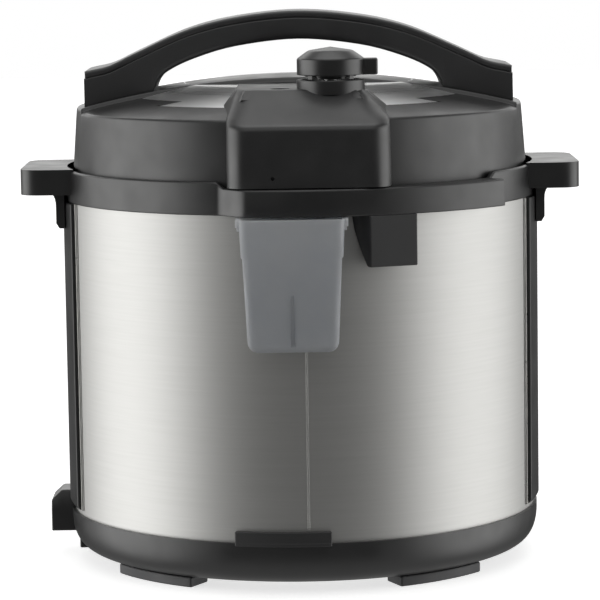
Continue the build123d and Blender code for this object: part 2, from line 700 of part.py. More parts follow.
def lid_posts():
    """Pillars that join the pressed lid to the cover."""
    posts = []
    for x, y in ((-60, 40), (60, 40), (-60, -40), (60, -40)):
        height = dome_height(sqrt(x * x + y * y), TRIM_DEPTH + 1.7)
        posts.append(disc(5.0, 249.4, height, x, y))
    return posts


def lid_frame():
    """Moulded spider between the pressed lid and the cover."""
    hoop = ring(66, 78, 250.2, 252.6)
    for post in lid_posts():
        hoop += post
    return hoop


def vent_pipe():
    tube = disc(4.0, 236.0, 296.0, *VENT) - disc(1.4, 200, 300, *VENT)
    return tube + (disc(6.0, 246.0, 249.0, *VENT) - disc(3.0, 200, 300, *VENT))


def vent_nut():
    nut = Pos(VENT[0], VENT[1], 0) * rise(RegularPolygon(6.5, 6), 236.6, 240.8)
    return nut - disc(4.02, 200, 300, *VENT)


def vent_shield():
    """Slotted cap that keeps food out of the vent."""
    cup = disc(8.4, 231.0, 240.4, *VENT) - disc(7.4, 232.2, 242, *VENT)
    for turn in range(6):
        slot = Rot(0, 0, 30 * turn) * Box(1.8, 20, 5)
        cup -= Pos(VENT[0], VENT[1], 236.0) * slot
    return cup


def ring_rack():
    """Wire hoop that carries the sealing ring, with its clips."""
    hoop = ring(109.0, 110.1, 229.0, 231.4)
    for i in range(6):
        hoop += sector(109.2, 109.9, 60 * i + 27, 60 * i + 33, 230.4, 240.6)
    return hoop


def sealing_ring():
    """Silicone ring with a lip that seals on the pot's rim."""
    return spin([(110.6, 227.2), (113.6, 229.4), (119.4, 227.0), (120.0, 228.6), (116.6, 231.6), (119.8, 235.2),
                 (118.8, 237.4), (112.2, 237.8), (110.6, 236.4)])


def lid_magnet():
    """Magnet on the rim that closes the position switch."""
    return sector(RIM_R + 0.05, RIM_R + 0.4, SWITCH_BEARING - 3, SWITCH_BEARING + 3, 225, 231)


def lid_screws():
    screws = []
    for x, y in ((-60, 40), (60, 40), (-60, -40), (60, -40)):
        screws.append(disc(4.0, 244.2, 245.74, x, y))
    return Compound(children=screws)


def steam_knob():
    """Loose release knob on legs, with a finger tab towards +X."""
    body = spin([(5.2, 289.4), (14.5, 289.4), (14.5, 290.3), (19.0, 290.3), (19.0, 298.6), (17.8, 300.6),
                 (12.0, 304.4), (0.0, 306.2), (0.0, 301.5), (5.2, 301.5)])
    tab = block(15, 26.5, -5.2, 5.2, 290.3, 299.5)
    body += fillet(tab.edges().filter_by(Axis.Z).sort_by(Axis.X)[-2:], 1.5)
    body = body - disc(5.2, 280, 301.5)
    for turn in (45, 135, 225, 315):
        body += Rot(0, 0, turn) * block(13.0, 17.0, -1.6, 1.6, 288.0 + FIT, 290.8)
    return Pos(VENT[0], VENT[1], 0) * body


def knob_weight():
    """Metal seat that rests over the vent pipe."""
    seat = ring(4.0 + FIT, 5.15, 289.6, 301.4) + disc(5.15, 296.0 + FIT, 301.4)
    return Pos(VENT[0], VENT[1], 0) * seat


def float_pin():
    pin = disc(3.0, 232.0, 279.0) + disc(4.6, 275.5, 280.0) + disc(4.4, 230.8, 232.4)
    return Pos(FLOAT[0], FLOAT[1], 0) * pin


def float_seal():
    return Pos(FLOAT[0], FLOAT[1], 0) * ring(3.02, 6.0, 232.4, 235.0)


# ---- condensation cup --------------------------------------------------------------------------
def cup_form(inset, floor):
    """Tapered pocket: wide at the mouth, narrower at the floor."""
    front = -HALF_DEPTH + inset
    back = -139.6 - inset
    lower_front = front + 2.0
    lower_back = back - 0.8
    mouth = Pos(CUP_X, (front + back) / 2, CUP_TOP) * RectangleRounded(57 - 2 * inset, back - front, 4.5 - inset)
    base = Pos(CUP_X, (lower_front + lower_back) / 2, floor) * RectangleRounded(
        50 - 2 * inset, lower_back - lower_front, 4.5 - inset)
    form = loft([base, mouth])
    return fillet(form.edges().group_by(Axis.Z)[0], 4.4 - inset)


def condensation_cup():
    """Clear pocket that hangs on the rails under the ledge."""
    wall = 1.4
    band = Pos(CUP_X, -149.6, 0) * rise(RectangleRounded(58.4, 19.6, 5), 194.0, CUP_TOP)
    ears = block(CUP_X - 31, CUP_X + 31, -157.0, -145.0, CUP_TOP - 5.6, CUP_TOP)
    solid = cup_form(0.0, CUP_BOTTOM) + band + ears
    room = cup_form(wall, CUP_BOTTOM + wall)
    solid = solid - room - block(CUP_X - 26.5, CUP_X + 26.5, -150, -130, 205.5, 220)
    for side in (-1, 1):
        x = sorted((CUP_X + side * 22.6, CUP_X + side * 27.6))
        solid += block(x[0], x[1], -156.5, -141.5, 209.4 + FIT, 211.6)
    rib = side_profile([(-158.0, 144.0), (-158.6, 144.0), (-159.4, 172.0), (-158.0, 172.0)], CUP_X - 0.8, CUP_X + 0.8)
    return solid + rib


# ---- write every node --------------------------------------------------------------------------
def write_base():
    save(base_housing(), "base_housing")
    save(bottom_cover(), "bottom_cover")
    for number, bearing in enumerate((-44.5, 38.8, 138.0, -142.0), start=1):
        save(foot_pad(bearing), f"foot_pad_{number}")
    save(rear_clip(), "rear_clip")
    save(body_wrap(), "body_wrap")
    save(top_collar(), "top_collar")
    for name, side in (("left", -1), ("right", 1)):
        save(handle_bracket(side), f"handle_bracket_{name}")
        save(side_trim(side), f"side_trim_{name}")
    save(trim_edges(), "trim_edges")
    save(switch_housing(), "switch_housing")
    save(lid_switch(), "lid_switch")
    save(inlet_hood(), "inlet_hood")
    save(mains_inlet(), "mains_inlet")
    save(inlet_pins(), "inlet_pins")
    save(case_screws(), "case_screws")


def write_panel():
    save(control_fascia(), "control_fascia")
    save(display_lens(), "display_lens")
    save(display_module(), "display_module")
    save(control_board(), "control_board")
    for number, place in enumerate(key_places(), start=1):
        save(button_key(*place), f"button_{number}")


def write_chamber():
    save(outer_pot(), "outer_pot")
    save(heater_plate(), "heater_plate")
    save(sensor_bracket(), "sensor_bracket")
    save(sensor_spring(), "sensor_spring")
    save(temperature_sensor(), "temperature_sensor")
    save(thermal_fuse(), "thermal_fuse")
    save(pressure_switch(), "pressure_switch")
    save(power_board(), "power_board")
    save(inner_pot(), "inner_pot")
    save(condensation_cup(), "condensation_cup")


def write_lid():
    save(lid_cover(), "lid_cover")
    save(lid_trim_disc(), "lid_trim_disc")
    save(handle_body(), "handle_body")
    save(handle_cap(), "handle_cap")
    save(valve_hub(), "valve_hub")
    save(pressure_lid(), "pressure_lid")
    save(lid_frame(), "lid_frame")
    save(vent_pipe(), "vent_pipe")
    save(vent_nut(), "vent_nut")
    save(vent_shield(), "vent_shield")
    save(ring_rack(), "ring_rack")
    save(sealing_ring(), "sealing_ring")
    save(lid_magnet(), "lid_magnet")
    save(lid_screws(), "lid_screws")
    save(steam_knob(), "steam_knob")
    save(knob_weight(), "knob_weight")
    save(float_pin(), "float_pin")
    save(float_seal(), "float_seal")


write_base()
write_panel()
write_chamber()
write_lid()
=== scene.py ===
import json
from math import asin, cos, degrees, hypot, pi, radians, sin, sqrt

import bmesh
import bpy
from mathutils import Matrix, Vector


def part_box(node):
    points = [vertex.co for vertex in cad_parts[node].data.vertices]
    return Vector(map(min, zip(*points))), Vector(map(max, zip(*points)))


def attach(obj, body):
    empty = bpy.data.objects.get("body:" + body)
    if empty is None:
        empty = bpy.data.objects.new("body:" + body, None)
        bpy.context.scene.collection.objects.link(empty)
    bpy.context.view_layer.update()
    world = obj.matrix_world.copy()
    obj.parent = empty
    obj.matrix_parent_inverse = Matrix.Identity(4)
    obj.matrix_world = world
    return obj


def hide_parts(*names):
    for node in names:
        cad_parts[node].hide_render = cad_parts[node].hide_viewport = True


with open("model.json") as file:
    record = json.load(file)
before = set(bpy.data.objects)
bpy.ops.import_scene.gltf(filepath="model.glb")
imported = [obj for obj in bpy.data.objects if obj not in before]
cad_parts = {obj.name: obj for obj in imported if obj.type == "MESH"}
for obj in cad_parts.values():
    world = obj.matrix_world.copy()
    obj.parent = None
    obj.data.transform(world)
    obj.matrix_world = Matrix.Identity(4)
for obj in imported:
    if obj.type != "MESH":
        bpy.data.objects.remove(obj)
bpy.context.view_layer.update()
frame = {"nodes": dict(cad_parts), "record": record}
NODES = frame["nodes"]

# Lengths in this script are millimetres; meshes are written in metres.
MM = 0.001
FULL_TURN = 360.0


# ---- sizes read from the frame -----------------------------------------------------------------
def span(node):
    """Lowest and highest corner of a CAD node, in millimetres."""
    low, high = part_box(node)
    return low / MM, high / MM


WRAP_LOW, WRAP_HIGH = span("body_wrap")
WRAP_R = WRAP_HIGH.x
WRAP_BOTTOM = WRAP_LOW.z
WRAP_TOP = WRAP_HIGH.z
BASE_R = span("base_housing")[1].y
BASE_UNDERSIDE = span("foot_pad_1")[1].z
COLLAR_LOW, COLLAR_HIGH = span("top_collar")
COLLAR_R = COLLAR_HIGH.y
HANDLE_TIP = COLLAR_HIGH.x
HANDLE_TOP = COLLAR_HIGH.z
LEDGE_R = -COLLAR_LOW.y
COVER_LOW, COVER_HIGH = span("lid_cover")
SKIRT_FOOT, SKIRT_FOOT_R = COVER_LOW.z, COVER_HIGH.x
DISC_R = span("lid_trim_disc")[1].x
CUP_LOW, CUP_HIGH = span("condensation_cup")
PANEL_LOW, PANEL_HIGH = span("control_fascia")
POT_LOW, POT_HIGH = span("inner_pot")
CHAMBER_LOW, CHAMBER_HIGH = span("outer_pot")

# Sizes that the boxes do not give.
COLLAR_TOP = 233.4
COLLAR_INNER_R = 136.6
CHANNEL_FLOOR = 217.0
FLANGE_R = 124.4
LEDGE_TOP = 230.0
LEDGE_START, LEDGE_BLEND, LEDGE_END = -19.4, -11.2, 50.4
DIP_START, DIP_END = -19.8, 53.0
HANDLE_BOTTOM = 219.7
HANDLE_HALF = 41.0
TRIM_HALF_BEARING = 18.5
TRIM_R = 141.2
SEAM_BEARING = 0.9
SKIRT_TOP_R = 132.0
DOME_EDGE_R, DOME_EDGE = 130.2, 267.6
DOME_TOP = 284.5
DOME_RISE = DOME_TOP - DOME_EDGE
DOME_SPHERE_R = (DOME_EDGE_R ** 2 + DOME_RISE ** 2) / (2 * DOME_RISE)
WINDOW_R = 108.6
BAND_HALF = 71.0
BRIDGE_HALF = 32.0
BRIDGE_RISE = 2.5
PLATE_DEPTH = 0.6
PLATE_SLOPE = 0.26
CAP_THICK = 4.0
VENT = (18.2, -98.0)
FLOAT = (-10.6, -100.0)
HUB_FOOT, HUB_TOP = 230.6, 283.0
CLIP_BEARING = -5.1
CLIP_TOP = 37.2
FOOT_BEARINGS = (-44.5, 38.8, 138.0, -142.0)
FOOT_INNER_R, FOOT_OUTER_R, FOOT_HALF_BEARING = 110.0, 128.0, 13.8
CUP_TAPER = 2.0
CUP_WALL = 1.4

# Studio: brightness of the room, the side softboxes and the glows, and where the softboxes start.
ROOM = 0.10
SOFTBOX_LEFT, SOFTBOX_RIGHT = 2.15, 1.85
SOFTBOX_OUTER, SOFTBOX_INNER = 0.72, 0.96
SOFTBOX_TOP = 0.55
BACK_GLOW, HORIZON_GLOW = 0.16, 1.2
FLOOR_GLOW, FRONT_GLOW = 0.35, 0.7
TOP_GLOW = 0.5


# ---- outlines ----------------------------------------------------------------------------------
def smooth(t):
    """Soft step from 0 to 1."""
    t = min(1.0, max(0.0, t))
    return t * t * (3 - 2 * t)


def at(radius, bearing):
    """Plan position at a radius and a bearing from the back (-Y) towards +X."""
    return (radius * sin(radians(bearing)), -radius * cos(radians(bearing)))


def rectangle(x0, x1, y0, y1):
    return [(x0, y0), (x1, y0), (x1, y1), (x0, y1)]


def rounded(outline, radii, steps=5):
    """Closed outline with its corners rounded; radii is one number or one per corner."""
    count = len(outline)
    radii = radii if isinstance(radii, (list, tuple)) else [radii] * count
    made = []
    for i, (point, radius) in enumerate(zip(outline, radii)):
        here = Vector(point)
        back = Vector(outline[i - 1]) - here
        ahead = Vector(outline[(i + 1) % count]) - here
        turn = back.angle(ahead) if back.length and ahead.length else pi
        if radius <= 0 or turn > pi - 0.02:
            made.append(tuple(here))
            continue
        reach = radius / max(1e-6, abs(sin(turn / 2) / cos(turn / 2)))
        reach = min(reach, 0.48 * back.length, 0.48 * ahead.length)
        start = here + back.normalized() * reach
        end = here + ahead.normalized() * reach
        for k in range(steps + 1):
            t = k / steps
            made.append(tuple((1 - t) ** 2 * start + 2 * t * (1 - t) * here + t * t * end))
    return made


def curve(points, steps=12):
    """Smooth line through the given points (Catmull-Rom)."""
    pts = [Vector(p) for p in points]
    pts = [2 * pts[0] - pts[1]] + pts + [2 * pts[-1] - pts[-2]]
    made = []
    for a, b, c, d in zip(pts, pts[1:], pts[2:], pts[3:]):
        for k in range(steps):
            t = k / steps
            made.append(0.5 * (2 * b + (c - a) * t + (2 * a - 5 * b + 4 * c - d) * t ** 2
                               + (3 * b - a - 3 * c + d) * t ** 3))
    made.append(pts[-2])
    return [tuple(p) for p in made]


def height_on(line, x):
    """Height of a left-to-right line of (x, z) points at x."""
    for (x0, z0), (x1, z1) in zip(line, line[1:]):
        if x <= x1:
            return z0 + (z1 - z0) * (x - x0) / (x1 - x0) if x1 > x0 else z1
    return line[-1][1]


# ---- mesh building -----------------------------------------------------------------------------
def ring_faces(rows, columns, closed):
    """Faces between neighbouring rings; closed joins the last ring to the first."""
    faces = []
    for i in range(rows if closed else rows - 1):
        for j in range(columns):
            a, b = i * columns, ((i + 1) % rows) * columns
            k = (j + 1) % columns
            faces.append((a + j, a + k, b + k, b + j))
    return faces


def loft(rings, closed=False):
    """Skin over rings of equal length, capped at both ends unless it closes on itself."""
    count = len(rings[0])
    verts = [p for ring in rings for p in ring]
    faces = ring_faces(len(rings), count, closed)
    if not closed:
        faces.append(tuple(reversed(range(count))))
        faces.append(tuple(range(len(verts) - count, len(verts))))
    return verts, faces


def lathe(outline, steps=192, centre=(0.0, 0.0)):
    """Closed (radius, height) outline turned about the vertical through centre."""
    rings = []
    for i in range(steps):
        c, s = cos(2 * pi * i / steps), sin(2 * pi * i / steps)
        rings.append([(centre[0] + r * c, centre[1] + r * s, z) for r, z in outline])
    return loft(rings, closed=True)


def prism(outline, low, high, along="z"):
    """Closed outline carried from low to high along an axis."""
    axis = "xyz".index(along)
    return loft([[(*p[:axis], h, *p[axis:]) for p in outline] for h in (low, high)])


def sector(inner, outer, start, end, low, high, steps=24):
    """Part of a ring between two bearings."""
    turns = [start + (end - start) * i / steps for i in range(steps + 1)]
    outline = [at(outer, t) for t in turns] + [at(inner, t) for t in reversed(turns)]
    return prism(outline, low, high)


def box(x0, x1, y0, y1, z0, z1):
    return prism(rectangle(x0, x1, y0, y1), z0, z1)


def joined(*solids):
    verts, faces = [], []
    for v, f in solids:
        start = len(verts)
        verts += v
        faces += [tuple(i + start for i in face) for face in f]
    return verts, faces


def turned(solid, angle, centre=(0.0, 0.0)):
    c, s = cos(radians(angle)), sin(radians(angle))
    verts = []
    for x, y, z in solid[0]:
        x, y = x - centre[0], y - centre[1]
        verts.append((centre[0] + c * x - s * y, centre[1] + s * x + c * y, z))
    return verts, solid[1]


def shifted(solid, x=0.0, y=0.0, z=0.0):
    return [(a + x, b + y, c + z) for a, b, c in solid[0]], solid[1]


def mesh_object(name, solid):
    """Clean mesh object, in metres, with outward normals."""
    mesh = bpy.data.meshes.new(name)
    mesh.from_pydata([tuple(c * MM for c in p) for p in solid[0]], [], solid[1])
    obj = bpy.data.objects.new(name, mesh)
    bpy.context.scene.collection.objects.link(obj)
    work = bmesh.new()
    work.from_mesh(mesh)
    bmesh.ops.remove_doubles(work, verts=work.verts, dist=2e-6)
    bmesh.ops.recalc_face_normals(work, faces=work.faces)
    work.to_mesh(mesh)
    work.free()
    mesh.shade_smooth()
    return obj


def cut(obj, *solids):
    """Takes solids out of a piece."""
    for solid in solids:
        tool = mesh_object("cutter", solid)
        change = obj.modifiers.new("cut", "BOOLEAN")
        change.operation = "DIFFERENCE"
        change.solver = "EXACT"
        change.object = tool
        bpy.context.view_layer.update()
        graph = bpy.context.evaluated_depsgraph_get()
        made = bpy.data.meshes.new_from_object(obj.evaluated_get(graph))
        obj.modifiers.clear()
        obj.data = made
        bpy.data.objects.remove(tool)
    obj.data.shade_smooth()
    return obj


def piece(obj, body, slot, material, replaces=(), edge=0.0, angle=35.0, steps=3):
    """Rounds a piece's edges, gives it its material and hangs it on its body."""
    if edge > 0:
        bevel = obj.modifiers.new("edges", "BEVEL")
        bevel.width = edge * MM
        bevel.segments = steps
        bevel.limit_method = "ANGLE"
        bevel.angle_limit = radians(angle)
        even = obj.modifiers.new("normals", "WEIGHTED_NORMAL")
        even.keep_sharp = True
        even.weight = 80
    else:
        obj.data.set_sharp_from_angle(angle=radians(angle))
    obj.data.materials.clear()
    obj.data.materials.append(material)
    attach(obj, body)
    if replaces:
        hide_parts(*replaces)


def build(name, solid, body, slot, material, replaces=(), **edges):
    piece(mesh_object(name, solid), body, slot, material, replaces, **edges)


# ---- materials ---------------------------------------------------------------------------------
class Shader:
    """Short hand for one node material."""

    def __init__(self, name, **sockets):
        self.material = bpy.data.materials.new(name)
        self.material.use_nodes = True
        self.tree = self.material.node_tree
        self.surface = self.tree.nodes["Principled BSDF"]
        for socket, value in sockets.items():
            self.surface.inputs[socket.replace("_", " ")].default_value = value

    def node(self, kind, **settings):
        made = self.tree.nodes.new(kind)
        for key, value in settings.items():
            if key in made.inputs:
                made.inputs[key].default_value = value
            else:
                setattr(made, key, value)
        return made

    def link(self, source, target):
        self.tree.links.new(source, target)

    def coordinates(self):
        return self.node("ShaderNodeTexCoord").outputs["Object"]

    def noise(self, scale, detail=2.0, roughness=0.5, vector=None):
        made = self.node("ShaderNodeTexNoise")
        made.inputs["Scale"].default_value = scale
        made.inputs["Detail"].default_value = detail
        made.inputs["Roughness"].default_value = roughness
        self.link(vector or self.coordinates(), made.inputs["Vector"])
        return made.outputs["Fac"]

    def ramp(self, factor, low, high, start=0.3, end=0.7):
        """Factor spread between two values."""
        made = self.node("ShaderNodeMapRange")
        for name, value in (("From Min", start), ("From Max", end), ("To Min", low), ("To Max", high)):
            made.inputs[name].default_value = value
        self.link(factor, made.inputs["Value"])
        return made.outputs["Result"]

    def colours(self, factor, first, second, start=0.3, end=0.7):
        made = self.node("ShaderNodeValToRGB")
        made.color_ramp.elements[0].position = start
        made.color_ramp.elements[0].color = (*first, 1.0)
        made.color_ramp.elements[1].position = end
        made.color_ramp.elements[1].color = (*second, 1.0)
        self.link(factor, made.inputs["Fac"])
        return made.outputs["Color"]

    def bump(self, factor, distance, strength=1.0, under=None):
        made = self.node("ShaderNodeBump")
        made.inputs["Strength"].default_value = strength
        made.inputs["Distance"].default_value = distance * MM
        self.link(factor, made.inputs["Height"])
        if under:
            self.link(under, made.inputs["Normal"])
        return made.outputs["Normal"]

    def set(self, socket, source):
        self.link(source, self.surface.inputs[socket])

    def tint(self, scale, detail, first, second):
        """Base colour that drifts between two colours."""
        self.set("Base Color", self.colours(self.noise(scale, detail), first, second))

    def polish(self, scale, detail, low, high):
        """Roughness that drifts between two values."""
        self.set("Roughness", self.ramp(self.noise(scale, detail), low, high))


def moulded(name, colour, roughness, grain=0.012, speck=0.25, coat=0.0):
    """Moulded plastic: fine spark grain, faint flow marks, uneven sheen."""
    made = Shader(name, Specular_IOR_Level=0.9, Coat_Weight=coat, Coat_Roughness=0.12)
    lighter = tuple(min(1.0, c * (1 + speck) + 0.002) for c in colour)
    made.tint(38.0, 4.0, colour, lighter)
    made.polish(55.0, 5.0, roughness - 0.05, roughness + 0.06)
    fine = made.bump(made.noise(2600.0, 1.0), grain)
    made.set("Normal", made.bump(made.noise(90.0, 3.0), 0.015, under=fine))
    return made.material


def round_drum(shader, turn_scale, height_scale):
    """Coordinates that run round the Z axis and up it, for grain that goes round a drum."""
    texture = shader.node("ShaderNodeTexCoord")
    split = shader.node("ShaderNodeSeparateXYZ")
    shader.link(texture.outputs["Object"], split.inputs["Vector"])
    turn = shader.node("ShaderNodeMath", operation="ARCTAN2")
    shader.link(split.outputs["X"], turn.inputs[0])
    shader.link(split.outputs["Y"], turn.inputs[1])
    scaled = []
    for source, scale in ((turn.outputs[0], turn_scale), (split.outputs["Z"], height_scale)):
        times = shader.node("ShaderNodeMath", operation="MULTIPLY")
        shader.link(source, times.inputs[0])
        times.inputs[1].default_value = scale
        scaled.append(times.outputs[0])
    joined_up = shader.node("ShaderNodeCombineXYZ")
    shader.link(scaled[0], joined_up.inputs["X"])
    shader.link(scaled[1], joined_up.inputs["Y"])
    return joined_up.outputs["Vector"]


def drum_steel():
    """Sheet steel brushed round the drum."""
    made = Shader("brushed_drum_steel", Metallic=1.0, Anisotropic=0.35)
    fine = made.noise(1.0, 3.0, 0.6, round_drum(made, 9.0, 9000.0))
    broad = made.noise(1.0, 2.0, 0.5, round_drum(made, 2.5, 700.0))
    made.set("Base Color", made.colours(broad, (0.53, 0.528, 0.515), (0.555, 0.552, 0.54)))
    made.set("Roughness", made.ramp(fine, 0.44, 0.50))
    made.set("Normal", made.bump(fine, 0.002, 0.5))
    tangent = made.node("ShaderNodeTangent", direction_type="RADIAL", axis="Z")
    made.set("Tangent", tangent.outputs["Tangent"])
    return made.material


def drawn_steel(name, colour=(0.62, 0.62, 0.61), roughness=0.24):
    """Satin steel with fine rings left by spinning."""
    made = Shader(name, Metallic=1.0)
    texture = made.node("ShaderNodeTexCoord")
    split = made.node("ShaderNodeSeparateXYZ")
    made.link(texture.outputs["Object"], split.inputs["Vector"])
    flat = made.node("ShaderNodeCombineXYZ")
    made.link(split.outputs["X"], flat.inputs["X"])
    made.link(split.outputs["Y"], flat.inputs["Y"])
    length = made.node("ShaderNodeVectorMath", operation="LENGTH")
    made.link(flat.outputs["Vector"], length.inputs[0])
    rings = made.node("ShaderNodeCombineXYZ")
    made.link(length.outputs["Value"], rings.inputs["X"])
    made.link(split.outputs["Z"], rings.inputs["Y"])
    grain = made.noise(900.0, 3.0, 0.6, rings.outputs["Vector"])
    made.tint(24.0, 3.0, colour, tuple(c * 1.08 for c in colour))
    made.set("Roughness", made.ramp(grain, roughness - 0.04, roughness + 0.06))
    made.set("Normal", made.bump(grain, 0.006, 0.5))
    return made.material


def plated():
    made = Shader("plated_steel", Metallic=1.0)
    made.tint(160.0, 4.0, (0.46, 0.46, 0.45), (0.58, 0.57, 0.54))
    made.polish(240.0, 3.0, 0.26, 0.42)
    return made.material


def cast_aluminium():
    made = Shader("cast_aluminium", Metallic=1.0)
    made.tint(70.0, 5.0, (0.50, 0.50, 0.51), (0.62, 0.62, 0.62))
    made.polish(300.0, 4.0, 0.38, 0.55)
    made.set("Normal", made.bump(made.noise(900.0, 3.0), 0.03))
    return made.material


def silicone():
    made = Shader("silicone", Roughness=0.42, Subsurface_Weight=0.25, Subsurface_Scale=0.003)
    made.surface.inputs["Subsurface Radius"].default_value = (1.0, 0.9, 0.8)
    made.tint(60.0, 3.0, (0.78, 0.78, 0.74), (0.86, 0.86, 0.83))
    made.set("Normal", made.bump(made.noise(700.0, 2.0), 0.01))
    return made.material


def cup_plastic():
    """Milky polypropylene: light glows through it, shapes barely show."""
    made = Shader("cup_polypropylene", IOR=1.49, Transmission_Weight=0.22, Specular_IOR_Level=0.5,
                  Subsurface_Weight=0.7, Subsurface_Scale=0.03)
    made.surface.inputs["Subsurface Radius"].default_value = (1.0, 1.0, 1.0)
    made.tint(45.0, 4.0, (0.84, 0.88, 0.94), (0.90, 0.93, 0.97))
    made.polish(120.0, 3.0, 0.34, 0.44)
    made.set("Normal", made.bump(made.noise(420.0, 2.0), 0.012))
    return made.material


def smoked_lens():
    made = Shader("smoked_lens", Coat_Weight=1.0, Coat_Roughness=0.03, Specular_IOR_Level=0.6)
    made.tint(20.0, 2.0, (0.006, 0.007, 0.009), (0.010, 0.011, 0.014))
    made.polish(140.0, 3.0, 0.07, 0.12)
    return made.material


def glowing():
    """Display segments seen through the lens."""
    made = Shader("display_glow", Emission_Strength=0.9, Roughness=0.4)
    colour = made.colours(made.noise(260.0, 2.0), (0.50, 0.72, 0.85), (0.62, 0.84, 0.95))
    made.set("Base Color", colour)
    made.set("Emission Color", colour)
    return made.material


def circuit_board():
    made = Shader("circuit_board", Roughness=0.35, Coat_Weight=0.3)
    tracks = made.node("ShaderNodeTexBrick", Scale=60.0)
    tracks.inputs["Color1"].default_value = (0.020, 0.110, 0.050, 1)
    tracks.inputs["Color2"].default_value = (0.025, 0.135, 0.060, 1)
    tracks.inputs["Mortar"].default_value = (0.060, 0.210, 0.110, 1)
    tracks.inputs["Mortar Size"].default_value = 0.03
    made.link(made.coordinates(), tracks.inputs["Vector"])
    made.set("Base Color", tracks.outputs["Color"])
    return made.material


def brass():
    made = Shader("plated_brass", Metallic=1.0)
    made.tint(200.0, 3.0, (0.66, 0.55, 0.33), (0.78, 0.68, 0.44))
    made.polish(500.0, 3.0, 0.22, 0.34)
    return made.material


def floor_paint():
    """White sweep for the eye; a duller, non-reflecting board for the object's own reflections."""
    made = Shader("studio_floor", Specular_IOR_Level=0.1, Emission_Strength=0.84)
    pale = made.colours(made.noise(3.0, 3.0), (0.80, 0.80, 0.80), (0.84, 0.84, 0.84))
    made.set("Base Color", pale)
    made.set("Emission Color", pale)
    made.polish(9.0, 3.0, 0.55, 0.65)
    board = made.node("ShaderNodeBsdfDiffuse", Color=(0.35, 0.35, 0.35, 1.0))
    clear = made.node("ShaderNodeBsdfTransparent")
    path = made.node("ShaderNodeLightPath")
    dull, seen = made.node("ShaderNodeMixShader"), made.node("ShaderNodeMixShader")
    made.link(path.outputs["Is Glossy Ray"], dull.inputs["Fac"])
    made.link(board.outputs["BSDF"], dull.inputs[1])
    made.link(clear.outputs["BSDF"], dull.inputs[2])
    made.link(path.outputs["Is Camera Ray"], seen.inputs["Fac"])
    made.link(dull.outputs["Shader"], seen.inputs[1])
    made.link(made.surface.outputs["BSDF"], seen.inputs[2])
    made.link(seen.outputs["Shader"], made.tree.nodes["Material Output"].inputs["Surface"])
    return made.material


BLACK = moulded("satin_black", (0.010, 0.010, 0.0105), 0.38)
BLACK_HANDLE = moulded("satin_black_handle", (0.026, 0.026, 0.027), 0.42)
DARK = moulded("insert_black", (0.014, 0.014, 0.015), 0.5)
GLOSS = moulded("gloss_black", (0.010, 0.010, 0.011), 0.16, grain=0.001, coat=0.4)
KEYS = moulded("key_grey", (0.045, 0.045, 0.048), 0.38)
RUBBER = moulded("foot_rubber", (0.050, 0.050, 0.053), 0.62, grain=0.03)
DRUM = drum_steel()
POT_STEEL = drawn_steel("pot_steel")
DISC_STEEL = drawn_steel("disc_steel", (0.92, 0.92, 0.92), 0.30)
PLATED = plated()
ALUMINIUM = cast_aluminium()
SILICONE = silicone()
CUP = cup_plastic()
LENS = smoked_lens()
GLOW = glowing()
BOARD = circuit_board()
BRASS = brass()
KEY_PRINT = moulded("key_print", (0.55, 0.55, 0.56), 0.45, grain=0.002, speck=0.05)

NODE_MATERIALS = {
    "black_plastic": BLACK, "panel_gloss": GLOSS, "lens_dark": LENS, "key_plastic": KEYS, "wrap_steel": DRUM,
    "pot_steel": POT_STEEL, "disc_steel": DISC_STEEL, "plated_steel": PLATED, "cast_aluminium": ALUMINIUM,
    "foot_rubber": RUBBER, "silicone": SILICONE, "cup_plastic": CUP, "dark_insert": DARK,
    "circuit_board": BOARD, "pin_brass": BRASS,
}


def dress_cad_nodes():
    """Every CAD node gets its slot's material."""
    slots = {entry["node"]: entry["material_slot"] for entry in frame["record"]["subparts"]}
    for name, obj in NODES.items():
        obj.data.materials.clear()
        obj.data.materials.append(NODE_MATERIALS[slots[name]])


# ---- the dome and the lid ----------------------------------------------------------------------
def dome_height(radius, drop=0.0):
    return DOME_TOP - drop - DOME_SPHERE_R + sqrt(DOME_SPHERE_R ** 2 - radius ** 2)


def bridge_lift(y):
    """How far the bridge under the handle stands above the dome at y."""
    return BRIDGE_RISE * smooth((BRIDGE_HALF + 1.2 - abs(y)) / 1.8)


def lid_height(x, y):
    return dome_height(hypot(x, y)) + bridge_lift(y)


def cover_edge():
    """Cover outline below the dome: rounded shoulder, skirt, and a closed inside."""
    start = DOME_EDGE_R - 3.2
    shoulder = rounded([(start, dome_height(start)), (DOME_EDGE_R + 1.5, DOME_EDGE - 0.7),
                        (SKIRT_TOP_R + 0.3, 262.0)], [0, 2.4, 0], 6)
    skirt = [(SKIRT_FOOT_R, COLLAR_TOP), (SKIRT_FOOT_R, SKIRT_FOOT + 0.6), (SKIRT_FOOT_R - 0.6, SKIRT_FOOT)]
    inside = [(SKIRT_FOOT_R - 2.2, SKIRT_FOOT), (SKIRT_FOOT_R - 2.3, COLLAR_TOP), (131.7, 237.0),
              (90.0, 250.0), (0.0, 256.0)]
    return shoulder + skirt + inside


def wall_depth(x, y):
    """How far a window's wall reaches down, to just below the plate's top."""
    return lid_height(x, y) - plate_height(sqrt(x * x + y * y)) + 0.3


def skirt_share(radius, height):
    """Share of the bridge's lift that a point of the skirt takes part in."""
    return smooth((height - 258.0) / 9.0) if radius > 100.0 else 0.0


